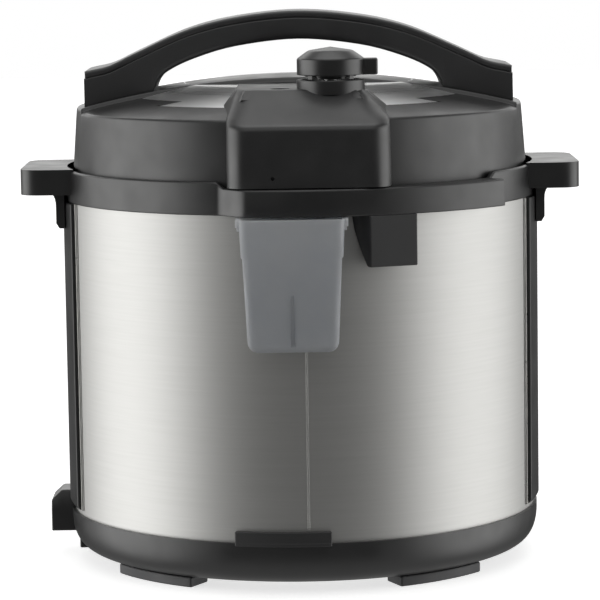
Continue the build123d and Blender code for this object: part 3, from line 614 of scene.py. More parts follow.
def lid_cover():
    """Domed cover with two windows: a straight band across the middle and a ring round it."""
    outer_r = DOME_EDGE_R - 3.2
    ring_radii = [WINDOW_R + (outer_r - WINDOW_R) * i / 6 for i in range(7)]
    rows = [0, 8, 16, 23, 28, 31.2, 31.7, 32.2, 32.7, 33.2, 36, 42, 49, 56, 62, 67]
    rows += [BAND_HALF - 1.2, BAND_HALF]
    rows = [-y for y in reversed(rows[1:])] + rows
    inner = 40
    verts, faces = [], []

    def add(x, y, drop=0.0):
        verts.append((x, y, lid_height(x, y) - drop))
        return len(verts) - 1

    band = []
    for y in rows:
        edge = sqrt(WINDOW_R ** 2 - y * y)
        xs = [-sqrt(r * r - y * y) for r in reversed(ring_radii)]
        xs += [edge * (2 * k / inner - 1) for k in range(1, inner)]
        xs += [sqrt(r * r - y * y) for r in ring_radii]
        band.append([add(x, y) for x in xs])
    for low, high in zip(band, band[1:]):
        faces += [(low[k], low[k + 1], high[k + 1], high[k]) for k in range(len(low) - 1)]
    columns = len(ring_radii)
    for side in (-1, 1):
        edge_row = band[0] if side < 0 else band[-1]
        wall = [add(*verts[i][:2], wall_depth(*verts[i][:2])) for i in edge_row[columns - 1:-columns + 1]]
        tops = edge_row[columns - 1:-columns + 1]
        faces += [(tops[k], tops[k + 1], wall[k + 1], wall[k]) for k in range(len(tops) - 1)]
        arcs = []
        for radius in ring_radii:
            start = asin(BAND_HALF / radius)
            turns = [start + (pi - 2 * start) * k / 72 for k in range(73)]
            arcs.append([add(radius * cos(t), side * radius * sin(t)) for t in turns])
        for near, far in zip(arcs, arcs[1:]):
            faces += [(near[k], near[k + 1], far[k + 1], far[k]) for k in range(72)]
        drop = [add(*verts[i][:2], wall_depth(*verts[i][:2])) for i in arcs[0]]
        faces += [(arcs[0][k], arcs[0][k + 1], drop[k + 1], drop[k]) for k in range(72)]
    right = [asin(y / outer_r) for y in rows]
    top = [asin(BAND_HALF / outer_r) + (pi - 2 * asin(BAND_HALF / outer_r)) * k / 72 for k in range(1, 72)]
    turns = right + top + [pi - t for t in reversed(right)] + [2 * pi - t for t in reversed(top)]
    outline = cover_edge()
    rings = []
    for t in turns:
        lift = bridge_lift(outer_r * sin(t))
        rings.append([(r * cos(t), r * sin(t), z + lift * skirt_share(r, z)) for r, z in outline])
    skirt = loft(rings, closed=True)
    open_skirt = (skirt[0], [f for f in skirt[1] if not closes_outline(f, len(outline))])
    return joined((verts, faces), open_skirt)


def closes_outline(face, count):
    """True for the faces that would join an outline's last point back to its first."""
    spots = {i % count for i in face}
    return 0 in spots and count - 1 in spots


def plate_height(radius):
    """Top of the polished plate: a shallow cone in the windows, flat under the band."""
    return dome_height(WINDOW_R, PLATE_DEPTH) + (WINDOW_R - max(radius, BAND_HALF - 2.0)) * PLATE_SLOPE


def trim_disc():
    """Polished plate with holes for the vent and the float."""
    top = [(DISC_R * k / 30, plate_height(DISC_R * k / 30)) for k in range(31)]
    under = [(r, z - 0.8) for r, z in reversed(top)]
    plate = mesh_object("trim_plate", lathe(top + under, 128))
    holes = ((6.2, VENT), (6.4, FLOAT))
    return cut(plate, *[lathe(rectangle(0, radius, 250, 300), 48, place) for radius, place in holes])


# ---- arch handle -------------------------------------------------------------------------------
ARCH_TOP = [(0, 324.6), (36, 321.4), (65, 314.5), (93.5, 302.2), (110, 294.6), (123, 291.8), (128.5, 290.6)]
ARCH_UNDER = [(0, 307.9), (36, 304.3), (60, 297.8), (76, 290.6), (82.5, 284.0), (85.5, 276.0)]


def half_curve(points):
    """Right half of a smooth line that runs on into its own mirror image."""
    whole = curve([(-x, z) for x, z in reversed(points[1:])] + points)
    return [(x, z) for x, z in whole if x > -0.01]


ARCH_TOP_LINE = half_curve(ARCH_TOP)
ARCH_UNDER_LINE = half_curve(ARCH_UNDER)
ARCH_FOOT_R = 128.8
FOOT_START = 85.5
ARCH_LAST = 127.4


def arch_top(x):
    return height_on(ARCH_TOP_LINE, abs(x))


def arch_under(x):
    """Underside of the arch; past the foot's inner corner it sinks just into the dome."""
    if abs(x) >= FOOT_START:
        return dome_height(min(abs(x), DOME_EDGE_R - 1)) - 1.0
    return height_on(ARCH_UNDER_LINE, abs(x))


def arch_half(x):
    """Half width of the arch: a narrow grip and wider feet."""
    return 20.5 + 8.5 * smooth(abs(x) / 105.0)


def arch_section(x, low, high, low_round, high_round, inset=0.0):
    """Ring round the handle at x; near the end it bends to follow the lid's rim."""
    half = arch_half(x) - inset
    outline = rounded(rectangle(-half, half, low, high), [low_round, low_round, high_round, high_round])
    made = []
    for y, z in outline:
        reach = sqrt(ARCH_FOOT_R ** 2 - y * y) - ARCH_LAST
        follow = smooth((abs(x) - 104.0) / 22.0)
        made.append(((abs(x) + reach * follow) * (1 if x > 0 else -1), y, z))
    return made


def arch_stations():
    """Places along the handle, close together where its outline turns."""
    half = [*range(0, 61, 6), 64, 68, 71, 73.5, 76, 78, 79.6, 81, 82.3, 83.4, 84.3, 85.0, FOOT_START - 0.01,
            FOOT_START, 88, 92, 96, 100, *range(104, 120, 3), 121.5, 124, 125.8, 126.8, ARCH_LAST]
    return [-x for x in reversed(half[1:])] + half


def end_drop(x):
    """How far the top edge is rounded down at the very ends."""
    into = max(0.0, abs(x) - 126.4)
    return 1 - sqrt(max(0.0, 1 - min(1.0, into) ** 2))


def handle_body():
    rings = []
    for x in arch_stations():
        high = arch_top(x) - CAP_THICK - 0.15
        low = arch_under(x)
        rings.append(arch_section(x, low, high, 4.0, 0.9))
    return loft(rings)


def handle_cap():
    rings = []
    for x in arch_stations():
        if abs(x) > 126.9:
            continue
        top = arch_top(x) - end_drop(x)
        rings.append(arch_section(x, arch_top(x) - CAP_THICK + 0.15, top, 0.9, 3.6, inset=0.05))
    return loft(rings)


def handle_core():
    """Dark fillet in the parting line between the two mouldings."""
    rings = []
    for x in arch_stations():
        if abs(x) > 125:
            continue
        middle = arch_top(x) - CAP_THICK
        rings.append(arch_section(x, middle - 1.0, middle + 1.0, 0.2, 0.2, inset=0.7))
    return loft(rings)


# ---- valve hub ---------------------------------------------------------------------------------
def hub_side(foot, knee, knee_height, brow, end, brow_round):
    """Side line of the hub as (position, height) points, from its foot to its flat top."""
    line = [(foot, HUB_FOOT), (knee, knee_height), (brow, HUB_TOP), (end, HUB_TOP)]
    return rounded(line, [0, 5.0, brow_round, 0], 6)


HUB_FRONT = hub_side(-146.5, -143.5, 264.0, -111.0, -60.0, 5.0)
HUB_LEFT = hub_side(-40.5, -40.4, 268.0, -35.2, 0.0, 2.0)
HUB_RIGHT = hub_side(50.8, 50.2, 268.0, 36.2, 0.0, 2.0)
FLARE_LOW = 264.0
FLARE_R = 123.5
DOT_X, DOT_Z, DOT_R = -15.0, 236.0, 1.1


def across(line, height):
    """Position on a line of (position, height) points that only climbs."""
    for (p0, z0), (p1, z1) in zip(line, line[1:]):
        if height <= z1 + 1e-6 and z1 > z0:
            return p0 + (p1 - p0) * (height - z0) / (z1 - z0)
    return line[-1][0]


def lid_radius(height):
    """Radius of the lid's outside at a height, a little inside its surface."""
    if height < DOME_EDGE:
        return SKIRT_FOOT_R - (SKIRT_FOOT_R - SKIRT_TOP_R) * smooth((height - COLLAR_TOP) / 30.0) - 1.2
    above = height + 1.2 - DOME_TOP
    return sqrt(max(0.0, DOME_SPHERE_R ** 2 - (above + DOME_SPHERE_R) ** 2)) if above < 0 else 0.0


def hub_corner(x, y, radius, start, height):
    """Quarter turn about (x, y), from the bearing start in degrees."""
    turns = [radians(start + 90 * k / 12) for k in range(13)]
    return [(x + radius * cos(t), y + radius * sin(t), height) for t in turns]


def hub_ring(height):
    """Plan outline of the hub at a height: rounded front corners, back against the lid."""
    front, left, right = across(HUB_FRONT, height), across(HUB_LEFT, height), across(HUB_RIGHT, height)
    corner = 12.0
    back_r = lid_radius(height)
    made = hub_corner(left + corner, front + corner, corner, 180, height)
    width = right - left - 2 * corner
    made += [(left + corner + width * k / 16, front, height) for k in range(1, 16)]
    made += hub_corner(right - corner, front + corner, corner, 270, height)
    for k in range(25):
        x = right + (left - right) * k / 24
        depth = sqrt(max(0.0, back_r ** 2 - x * x))
        made.append((x, -max(depth, BRIDGE_HALF + 0.6), height))
    return made


def valve_hub():
    corners = {point[1] for point in HUB_FRONT + HUB_LEFT + HUB_RIGHT}
    heights = sorted(corners | {231.2, 240, 250, 258, 269, 272, 276, 279, 281})
    heights = [height for height in heights if height < HUB_TOP - 0.01] + [HUB_TOP - 0.02]
    return loft([hub_ring(height) for height in heights])


def hub_flare():
    """Part of the hub that lies on the dome, with sloping flanks."""
    rings = []
    for height in (FLARE_LOW, *range(266, 281, 2), 281.6, 282.6, HUB_TOP - 0.05):
        up = (height - FLARE_LOW) / (HUB_TOP - FLARE_LOW)
        left, right = -50.5 + 15.7 * up, 61.5 - 25.7 * up
        brow = across(HUB_FRONT, height)
        ring = []
        for k in range(81):
            x = left + (right - left) * k / 80
            tapered = 93.0 + 3.9 * min(x - left, right - x)
            ring.append((x, max(brow + 0.3, -min(sqrt(FLARE_R ** 2 - x * x), tapered)), height))
        back = -BRIDGE_HALF - 0.6
        ring += [(right + (left - right) * k / 40, back, height) for k in range(41)]
        rings.append(ring)
    flare = mesh_object("hub_flare", loft(rings))
    under = [(WINDOW_R * k / 12, plate_height(WINDOW_R * k / 12) - 0.3) for k in range(13)]
    under += [(r, dome_height(r, 0.7)) for r in (WINDOW_R + 0.2, 112.0, 116.0, 120.0, 125.0, DOME_EDGE_R)]
    return cut(flare, lathe(under + [(DOME_EDGE_R, 250.0), (0.0, 250.0)], 128))


def knob_boss():
    """Round seat under the knob, with a raised rim."""
    outline = rounded([(0, HUB_TOP - 3), (19.2, HUB_TOP - 3), (19.2, 288.0), (16.5, 288.0), (16.5, 287.0),
                       (0, 287.0)], [0, 0, 0.9, 0.3, 0.3, 0], 4)
    return lathe(outline, 96, VENT)


def steam_knob():
    """Round cap with a shallow crown, a rebated underside and four legs; knob_tab makes the finger tab."""
    outline = rounded([(0, 289.6), (14.5, 289.6), (14.5, 290.5), (19.0, 290.5), (19.0, 299.6), (12.5, 304.2),
                       (0.0, 306.2)], [0, 0.3, 0.3, 0.6, 1.6, 6.0, 0], 6)
    cap = lathe(outline, 96, VENT)
    legs = []
    for turn in (45, 135, 225, 315):
        leg = shifted(box(12.6, 16.6, -1.6, 1.6, 288.4, 291.0), VENT[0], VENT[1])
        legs.append(turned(leg, turn, VENT))
    stem = lathe(rectangle(0, 9.5, 288.2, 290.2), 48, VENT)
    return joined(cap, stem, *legs)


def knob_tab():
    outline = rounded(rectangle(15.0, 26.5, -5.2, 5.2), [0, 1.6, 1.6, 0])
    return shifted(prism(outline, 290.4, 299.5), VENT[0], VENT[1])


# ---- base, drum and collar ---------------------------------------------------------------------
def bowl():
    """Base bowl: flat underside, full curve up to a short upright lip."""
    points = [(BASE_R, WRAP_BOTTOM)]
    ends = [(BASE_R, 27.0), (BASE_R, 15.0), (136.0, 7.0), (125.0, BASE_UNDERSIDE)]
    for k in range(25):
        t = k / 24
        w = [(1 - t) ** 3, 3 * t * (1 - t) ** 2, 3 * t * t * (1 - t), t ** 3]
        points.append((sum(a * p[0] for a, p in zip(w, ends)), sum(a * p[1] for a, p in zip(w, ends))))
    points += [(100.2, BASE_UNDERSIDE), (100.2, BASE_UNDERSIDE + 2.5), (124.0, BASE_UNDERSIDE + 2.5),
               (134.0, 22.0), (134.0, 44.0), (WRAP_R - 0.9, 44.0), (WRAP_R - 0.9, WRAP_BOTTOM)]
    return lathe(points, 256)


def drum():
    outline = [(WRAP_R - 0.8, WRAP_BOTTOM), (WRAP_R, WRAP_BOTTOM)]
    outline += [(WRAP_R, WRAP_BOTTOM + (WRAP_TOP - WRAP_BOTTOM) * k / 6) for k in range(1, 7)]
    outline += [(WRAP_R - 0.8, WRAP_TOP)]
    return lathe(outline, 256)


def seam():
    """Lapped seam of the wrap: two fine folds with a shadow line between them."""
    folds = []
    for shift in (-0.42, 0.42):
        middle = SEAM_BEARING + degrees(shift / WRAP_R)
        half = degrees(0.26 / WRAP_R)
        folds.append(sector(WRAP_R - 0.2, WRAP_R + 0.34, middle - half, middle + half, CLIP_TOP, WRAP_TOP, 3))
    return joined(*folds)


def collar_reach(bearing):
    """Outer radius of the collar: it swells into the ledge and steps back at the ledge's end."""
    grow = smooth((bearing - LEDGE_START) / (LEDGE_BLEND - LEDGE_START))
    if bearing > LEDGE_END:
        return COLLAR_R
    near_end = max(0.0, bearing - (LEDGE_END - 0.45)) / 0.45
    return COLLAR_R + (LEDGE_R - COLLAR_R) * grow - 1.2 * (1 - sqrt(max(0.0, 1 - near_end ** 2)))


def collar_height(bearing):
    """Top of the collar's wall: it dips to the ledge where the hub travels."""
    dip = smooth((bearing - DIP_START) / 2.4) * smooth((DIP_END - bearing) / 2.4)
    return COLLAR_TOP - (COLLAR_TOP - LEDGE_TOP) * dip


def collar():
    turns = [55.0 + k * 1.5 for k in range(190)]
    turns += [-19.9 + k * 0.3 for k in range(31)] + [-10.5 + k * 1.5 for k in range(41)]
    turns += [LEDGE_END - step for step in (0.45, 0.3, 0.18, 0.08, 0.02, 0.0)]
    turns += [LEDGE_END + step for step in (0.02, 0.4, 0.8, 1.2, 1.6, 2.0, 2.4, 2.8)]
    rings = []
    for bearing in sorted(set(t if t <= 180 else t - FULL_TURN for t in turns)):
        reach, top = collar_reach(bearing), collar_height(bearing)
        outline = rounded([(119.6, WRAP_TOP), (reach, WRAP_TOP), (reach, top), (COLLAR_INNER_R, top),
                           (COLLAR_INNER_R, CHANNEL_FLOOR), (FLANGE_R, CHANNEL_FLOOR), (FLANGE_R, 221.4),
                           (119.6, 221.4)], [0.4, 0.9, 1.3, 0.7, 0.8, 0.5, 0.5, 0.4], 4)
        rings.append([(*at(r, bearing), z) for r, z in outline])
    return loft(rings, closed=True)


def side_handle(side):
    """Lifting handle: a rounded slab with a shallow finger recess beneath."""
    plan = rectangle(side * 132.0, side * HANDLE_TIP, -HANDLE_HALF, HANDLE_HALF)
    plan = rounded(plan, [0, 13.0, 13.0, 0], 10)
    name = "side_handle_right" if side > 0 else "side_handle_left"
    body = mesh_object(name, prism(plan, HANDLE_BOTTOM, HANDLE_TOP))
    inner = lathe(rectangle(0, COLLAR_INNER_R + 1.6, 190, 250))
    recess = rounded(rectangle(side * 150.5, side * 160.0, -30, 30), 3.0)
    return cut(body, inner, prism(recess, HANDLE_BOTTOM - 5, HANDLE_BOTTOM + 2.2))


def handle_bracket(side):
    """Bracket under a side handle: upright, with a curve that flares into the handle."""
    foot, low, high = 143.7, 202.2, 213.0
    outline = [(138.6, 199.2), (141.8, 199.2), (foot, low), (foot, high)]
    for k in range(1, 7):
        turn = radians(15 * k)
        outline.append((foot + 3.4 * (1 - cos(turn)), high + 6.9 * sin(turn)))
    outline.append((138.6, HANDLE_BOTTOM + 0.4))
    return prism([(side * x, z) for x, z in outline], -30.0, 30.0, "y")


def side_trim(side):
    """Dark pillar that covers the wrap below a side handle."""
    low = WRAP_BOTTOM + 3.0
    facing = side * 90.0
    turns = [facing - TRIM_HALF_BEARING + 2 * TRIM_HALF_BEARING * k / 40 for k in range(41)]
    rings = []
    for z, reach in ((low, TRIM_R - 1.4), (low + 2.4, TRIM_R), (120.0, TRIM_R), (WRAP_TOP - 0.1, TRIM_R)):
        outer = [(*at(reach, t), z) for t in turns]
        rings.append(outer + [(*at(WRAP_R - 0.3, t), z) for t in reversed(turns)])
    return loft(rings)


def trim_edges(near, far, proud):
    """Folded strips beside both edges of each pillar, between two distances from the pillar."""
    strips = []
    for side in (-1, 1):
        for end in (-1, 1):
            edge = side * 90.0 + end * TRIM_HALF_BEARING
            ends = sorted(edge + end * degrees(distance / WRAP_R) for distance in (near, far))
            strips.append(sector(WRAP_R - 0.2, WRAP_R + proud, *ends, WRAP_BOTTOM + 3.0, WRAP_TOP - 0.1, 3))
    return joined(*strips)


def rear_clip():
    """Clip hooked over the bowl's lip at the bottom of the seam."""
    half = degrees(27.4 / BASE_R)
    ends = (CLIP_BEARING - half, CLIP_BEARING + half)
    hook = sector(WRAP_R - 0.2, BASE_R + 0.95, *ends, WRAP_BOTTOM + 0.05, CLIP_TOP)
    return joined(hook, sector(BASE_R - 0.2, BASE_R + 0.95, *ends, 28.7, WRAP_BOTTOM + 0.6))


def foot_pad(bearing):
    """Curved rubber foot with rounded corners."""
    turns = [bearing + FOOT_HALF_BEARING * (k / 10 - 1) for k in range(21)]
    outline = [at(FOOT_OUTER_R, t) for t in turns] + [at(FOOT_INNER_R, t) for t in reversed(turns)]
    corners = [4.5 if k in (0, 20, 21, 41) else 0 for k in range(42)]
    return prism(rounded(outline, corners), 0.0, BASE_UNDERSIDE)


def switch_housing():
    """Small box under the ledge; its left flank spreads towards the wrap and tucks in at the bottom."""
    rings = []
    for height, spread, back in ((186.2, 14.0, 146.0), (188.5, 14.2, 143.0), (192.0, 14.8, 140.4),
                                 (196.0, 15.6, 138.4), (200.0, 16.6, 137.4), (206.0, 18.4, 137.0),
                                 (215.0, 20.0, 137.0)):
        plan = [(14.0, -back), (14.0, -LEDGE_R + 0.3), (-14.0, -LEDGE_R + 0.3), (-14.6, -LEDGE_R + 3.0)]
        rings.append([(x, y, height) for x, y in plan + [(-spread, -back)]])
    return turned(loft(rings), 20.0)


# ---- condensation cup --------------------------------------------------------------------------
CUP_MIDDLE = (CUP_LOW.x + CUP_HIGH.x) / 2


def cup_share(height):
    """How far up the cup a height lies, from 0 to 1."""
    return (height - CUP_LOW.z) / (CUP_HIGH.z - CUP_LOW.z)


def cup_ring(height, inset, wide=0.0):
    """Rounded rectangle of the cup at a height."""
    up = cup_share(height)
    half = 25.0 + 3.5 * up - inset + wide
    front = max(CUP_LOW.y, CUP_LOW.y + CUP_TAPER * (1 - up) + inset - min(wide, 0.2))
    back = CUP_HIGH.y - 0.9 * (1 - up) - inset
    outline = rounded(rectangle(CUP_MIDDLE - half, CUP_MIDDLE + half, front, back), max(1.0, 5.0 - inset), 6)
    return [(x, y, height) for x, y in outline]


def cup_rings(inset, floor):
    """Rings from the floor's middle up to the mouth, with a rounded bottom edge."""
    rings = []
    bottom_round = 6.0 - inset
    for k in range(7):
        turn = radians(90 * k / 6)
        rings.append(cup_ring(floor + bottom_round * (1 - cos(turn)), inset + bottom_round * (1 - sin(turn))))
    rings += [cup_ring(height, inset) for height in (160, 176, 192.6)]
    return rings + [cup_ring(height, inset, 0.7) for height in (193.6, 204, CUP_HIGH.z)]


def condensation_cup():
    outer = cup_rings(0.0, CUP_LOW.z)
    inner = cup_rings(CUP_WALL, CUP_LOW.z + 1.5)
    return loft(outer + list(reversed(inner)))


def cup_ears():
    """Stepped lugs on both sides of the mouth."""
    ears = []
    for side in (-1, 1):
        inner, outer, step = (CUP_MIDDLE + side * reach for reach in (28.0, 31.0, 30.2))
        ears.append(box(*sorted((inner, outer)), -156.5, -144.5, CUP_HIGH.z - 4.2, CUP_HIGH.z))
        ears.append(box(*sorted((inner, step)), -155.0, -146.0, CUP_HIGH.z - 6.4, CUP_HIGH.z - 4.0))
    return joined(*ears)


def cup_rib():
    """Short rib low on the cup's front."""
    rings = []
    for z, half, out in ((144.0, 1.3, 0.2), (156.0, 1.0, 0.5), (170.0, 0.75, 0.55), (173.0, 0.6, 0.1)):
        face = CUP_LOW.y + CUP_TAPER * (1 - cup_share(z))
        crest = half * 0.5
        section = [(-half, face + 0.4), (-crest, face - out), (crest, face - out), (half, face + 0.4)]
        rings.append([(CUP_MIDDLE + x, y, z) for x, y in section])
    return loft(rings)


# ---- control panel -----------------------------------------------------------------------------
PANEL_ARC_R = 190.0
PANEL_HALF = PANEL_HIGH.x
PANEL_FOOT_Y = 119.0
MARK_INSET = 0.42
KEY_NODES = [f"button_{k}" for k in range(1, 9)]


def panel_front(x, inset=0.0):
    """How far out the bowed panel face stands at x."""
    return PANEL_HIGH.y - PANEL_ARC_R + sqrt((PANEL_ARC_R - inset) ** 2 - x * x)


def panel_outline():
    """Plan outline of the bowed panel with rounded front corners."""
    half, corner = PANEL_HALF, 10.0
    shoulder = panel_front(half) - corner * 0.72
    straight = half - corner
    bow = [(x, panel_front(x)) for x in [straight - 2 * straight * k / 30 for k in range(31)]]
    right = []
    for k in range(1, 9):
        turn = radians(10 * k)
        right.append((straight + corner * cos(turn), shoulder + (bow[0][1] - shoulder) * sin(turn)))
    left = [(-x, y) for x, y in reversed(right)]
    front = [(half, shoulder)] + right + bow + left + [(-half, shoulder)]
    return [(half, PANEL_FOOT_Y)] + front + [(-half, PANEL_FOOT_Y)]


def key_outline(low, high, gap=0.0):
    """Key seen from the front, with fully rounded ends and a gap round it."""
    corner = (min(high.x - low.x, high.z - low.z) / 2 + gap) * 0.98
    return rounded(rectangle(low.x - gap, high.x + gap, low.z - gap, high.z + gap), corner, 10)


def key_pocket(node, gap, depth):
    """Opening for a key, a little larger than the key itself."""
    low, high = span(node)
    return prism(key_outline(low, high, gap), high.y - depth, high.y + 8.0, "y")


def control_fascia():
    body = mesh_object("control_panel_shell", prism(panel_outline(), PANEL_LOW.z, PANEL_HIGH.z))
    low, high = span("display_lens")
    lens = rounded(rectangle(low.x - 0.2, high.x + 0.2, low.z - 0.2, high.z + 0.2), 5.0, 6)
    pockets = [key_pocket(node, 0.4, 8.0) for node in KEY_NODES]
    return cut(body, prism(lens, 152.0, 170.0, "y"), *pockets)


def curved_plate(outline, inset, thick, steps=14):
    """Plate with an (x, z) outline whose face follows the panel's bow."""
    work = bmesh.new()
    front = [work.verts.new((x, panel_front(x, inset), z)) for x, z in outline]
    back = [work.verts.new((x, panel_front(x, inset) - thick, z)) for x, z in outline]
    count = len(outline)
    for k in range(count):
        work.faces.new([front[k], front[(k + 1) % count], back[(k + 1) % count], back[k]])
    work.faces.new(front)
    work.faces.new(list(reversed(back)))
    low_x, high_x = min(x for x, _ in outline), max(x for x, _ in outline)
    for k in range(1, steps):
        x = low_x + (high_x - low_x) * k / steps
        geometry = work.verts[:] + work.edges[:] + work.faces[:]
        bmesh.ops.bisect_plane(work, geom=geometry, plane_co=(x, 0, 0), plane_no=(1, 0, 0), dist=1e-5)
    work.verts.index_update()
    for vert in work.verts:
        face = panel_front(vert.co.x, inset)
        vert.co.y = face if abs(vert.co.y - face) < thick / 2 else face - thick
    solid = ([tuple(v.co) for v in work.verts], [tuple(v.index for v in f.verts) for f in work.faces])
    work.free()
    return solid


def display_lens():
    low, high = span("display_lens")
    return curved_plate(rounded(rectangle(low.x, high.x, low.z, high.z), 4.8, 6), 0.5, 1.8)


def key_cap(node):
    return curved_plate(key_outline(*span(node)), 0.2, 3.4, 6)


SEGMENTS = {"0": "abcdef", "2": "abged", "3": "abgcd", "5": "afgcd"}


def digit(mark, x, z, width=6.0, height=11.0, bar=1.3):
    """Seven-segment digit lying just under the lens."""
    half = height / 2
    places = {"a": (0, height, True), "g": (0, half, True), "d": (0, 0, True), "f": (0, half, False),
              "b": (width, half, False), "e": (0, 0, False), "c": (width, 0, False)}
    bars = []
    for segment in SEGMENTS[mark]:
        dx, dz, flat = places[segment]
        reach = width if flat else half
        start = [(bar * 0.6, -bar / 2), (reach - bar * 0.6, -bar / 2), (reach - bar * 0.1, 0),
                 (reach - bar * 0.6, bar / 2), (bar * 0.6, bar / 2), (bar * 0.1, 0)]
        outline = [(x - dx - (p if flat else q), z + dz + (q if flat else p)) for p, q in start]
        bars.append(curved_plate(outline, MARK_INSET, 0.1, 2))
    return joined(*bars)


def display_marks():
    """Time left, as on any timer: two digits, a colon and two digits."""
    base = span("display_lens")[0].z + 14.0
    marks = [digit(mark, x, base) for mark, x in zip("0230", (21.0, 11.5, -4.5, -14.0))]
    for z in (base + 3.4, base + 7.6):
        marks.append(curved_plate(rounded(rectangle(0.9, 2.3, z - 0.7, z + 0.7), 0.6, 4), MARK_INSET, 0.1, 2))
    return joined(*marks)


def key_mark(node):
    """Short bar above each key."""
    low, high = span(node)
    middle = (low.x + high.x) / 2
    bar = rectangle(middle - 3.2, middle + 3.2, high.z + 2.6, high.z + 3.4)
    return curved_plate(rounded(bar, 0.35, 3), -0.04, 0.2, 2)


# ---- inlet -------------------------------------------------------------------------------------
def socket_outline(half, low, shoulder, ridge):
    """Inlet opening seen from outside: two chamfered corners at the top."""
    ridge_half = half - 3.4
    return rounded([(-half, low), (half, low), (half, shoulder), (ridge_half, ridge), (-ridge_half, ridge),
                    (-half, shoulder)], 1.2, 4)


def inlet_hood():
    """Block round the mains inlet; its top is hipped and drops towards the outer end."""
    low, high = span("inlet_hood")
    half, roof, ridge_half = high.y, 28.4, high.y - 4.0
    ends = []
    for x, ridge in ((low.x, 34.0), (-146.0, high.z), (-136.5, high.z)):
        narrow = half - (half - ridge_half) * (ridge - roof) / (high.z - roof)
        section = [(-half, low.z), (half, low.z), (half, roof), (narrow, ridge), (-narrow, ridge),
                   (-half, roof)]
        ends.append([(x, y, z) for y, z in section])
    hood = mesh_object("inlet_hood_shell", loft(ends))
    return cut(hood, prism(socket_outline(12.0, 17.2, 28.4, 32.2), -160.0, -137.5, "x"))


def inlet_pin(y, z):
    return prism(rounded(rectangle(y - 1.0, y + 1.0, z - 2.0, z + 2.0), 0.45, 3), -146.0, -137.0, "x")


# ---- pots, seal and pressed lid ----------------------------------------------------------------
def inner_pot():
    outer, wall = 112.0, 1.2
    rim, top, floor = POT_HIGH.x, POT_HIGH.z, POT_LOW.z
    outline = rounded([(0, floor), (outer, floor), (outer, top - 2.0), (rim, top - 2.0), (rim, top),
                       (outer - wall, top), (outer - wall, floor + wall), (0, floor + wall)],
                      [0, 9.0, 1.0, 0.95, 0.95, 2.2, 8.2, 0], 8)
    return lathe(outline, 192)


def bayonet(inner, outer, low, high, offset):
    starts = [offset + 45.0 * k - 10.0 for k in range(8)]
    return [sector(inner, outer, s, s + 20.0, low, high, 8) for s in starts]


def outer_pot():
    inner, wall = 116.0, 1.2
    top = CHAMBER_HIGH.z
    outline = rounded([(70, CHAMBER_LOW.z), (inner + wall, CHAMBER_LOW.z), (inner + wall, top - 2.5),
                       (FLANGE_R, top - 2.5), (FLANGE_R, top), (inner, top), (inner, CHAMBER_LOW.z + wall),
                       (70, CHAMBER_LOW.z + wall)], [0, 6.0, 0.8, 0.8, 0.8, 2.0, 5.0, 0], 6)
    lugs = bayonet(FLANGE_R - 0.8, CHAMBER_HIGH.x, top - 2.4, top - 0.1, 0.0)
    return joined(lathe(outline, 192), *lugs)


def pressure_lid():
    top = curve([(0, 252.0), (60, 250.0), (104, 243.4), (126, 240.4)], 8)
    under = [(r, z - 2.0) for r, z in reversed(top[:-1])]
    rim = rounded([(131.5, 239.6), (131.5, 218.3), (130.0, 218.3), (130.0, 237.6)], [3.4, 0.5, 0.5, 2.4], 5)
    lugs = bayonet(125.8, 130.4, 218.4, 220.7, -4.5)
    return joined(lathe(top + rim + under, 192), *lugs)


def sealing_ring():
    outline = rounded([(110.6, 227.4), (113.4, 229.2), (119.6, 227.1), (119.9, 228.6), (116.4, 231.6),
                       (119.4, 235.4), (118.4, 237.4), (112.2, 237.7), (110.7, 236.2)],
                      [0.6, 1.2, 0.6, 0.6, 1.6, 0.8, 0.8, 0.8, 0.8], 4)
    return lathe(outline, 192)


def heater_plate():
    """Cast plate with shallow turned grooves, on a ring."""
    high = span("heater_plate")[1]
    rings = [(16.0, 52.0), (high.x, 52.0), (high.x, high.z - 1.5), (high.x - 1.5, high.z)]
    for k in range(12):
        radius = high.x - 6.0 - 6.2 * k
        rings += [(radius + 0.5, high.z), (radius, high.z - 0.35), (radius - 0.5, high.z)]
    rings += [(16.0, high.z)]
    under = lathe(rounded(rectangle(60, 78, 45.4, 52.2), 3.0), 128)
    return joined(lathe(rings, 160), under)


# ---- assembly ----------------------------------------------------------------------------------
def make_base():
    build("base_bowl", bowl(), "base", "black_plastic", BLACK, ["base_housing"], angle=30)
    build("wrap_drum", drum(), "base", "wrap_steel", DRUM, ["body_wrap"], angle=30)
    build("wrap_seam", seam(), "base", "wrap_steel", DRUM, edge=0.12, steps=2)
    build("collar_ring", collar(), "base", "black_plastic", BLACK, ["top_collar"], angle=50)
    for side, name in ((-1, "left"), (1, "right")):
        piece(side_handle(side), "base", "black_plastic", BLACK, edge=2.2, steps=4)
        build(f"bracket_{name}", handle_bracket(side), "base", "black_plastic", BLACK,
              [f"handle_bracket_{name}"], edge=1.2)
        build(f"pillar_{name}", side_trim(side), "base", "black_plastic", BLACK,
              [f"side_trim_{name}"], edge=0.7)
    build("pillar_edges", trim_edges(0.1, 2.4, 1.3), "base", "plated_steel", PLATED, ["trim_edges"],
          edge=0.3, steps=2)
    build("pillar_rims", trim_edges(2.4, 3.1, 0.6), "base", "wrap_steel", DRUM, edge=0.12, steps=2)
    build("seam_clip", rear_clip(), "base", "black_plastic", DARK, ["rear_clip"], edge=0.6)
    for number, bearing in enumerate(FOOT_BEARINGS, start=1):
        build(f"foot_{number}", foot_pad(bearing), "base", "foot_rubber", RUBBER, [f"foot_pad_{number}"],
              edge=1.4, steps=4)
    build("switch_box", switch_housing(), "base", "black_plastic", DARK, ["switch_housing"], edge=0.7)
    build("side_rest", box(-135.5, -130.5, -12, 12, 4.2, 17), "base", "black_plastic", BLACK, edge=0.8)


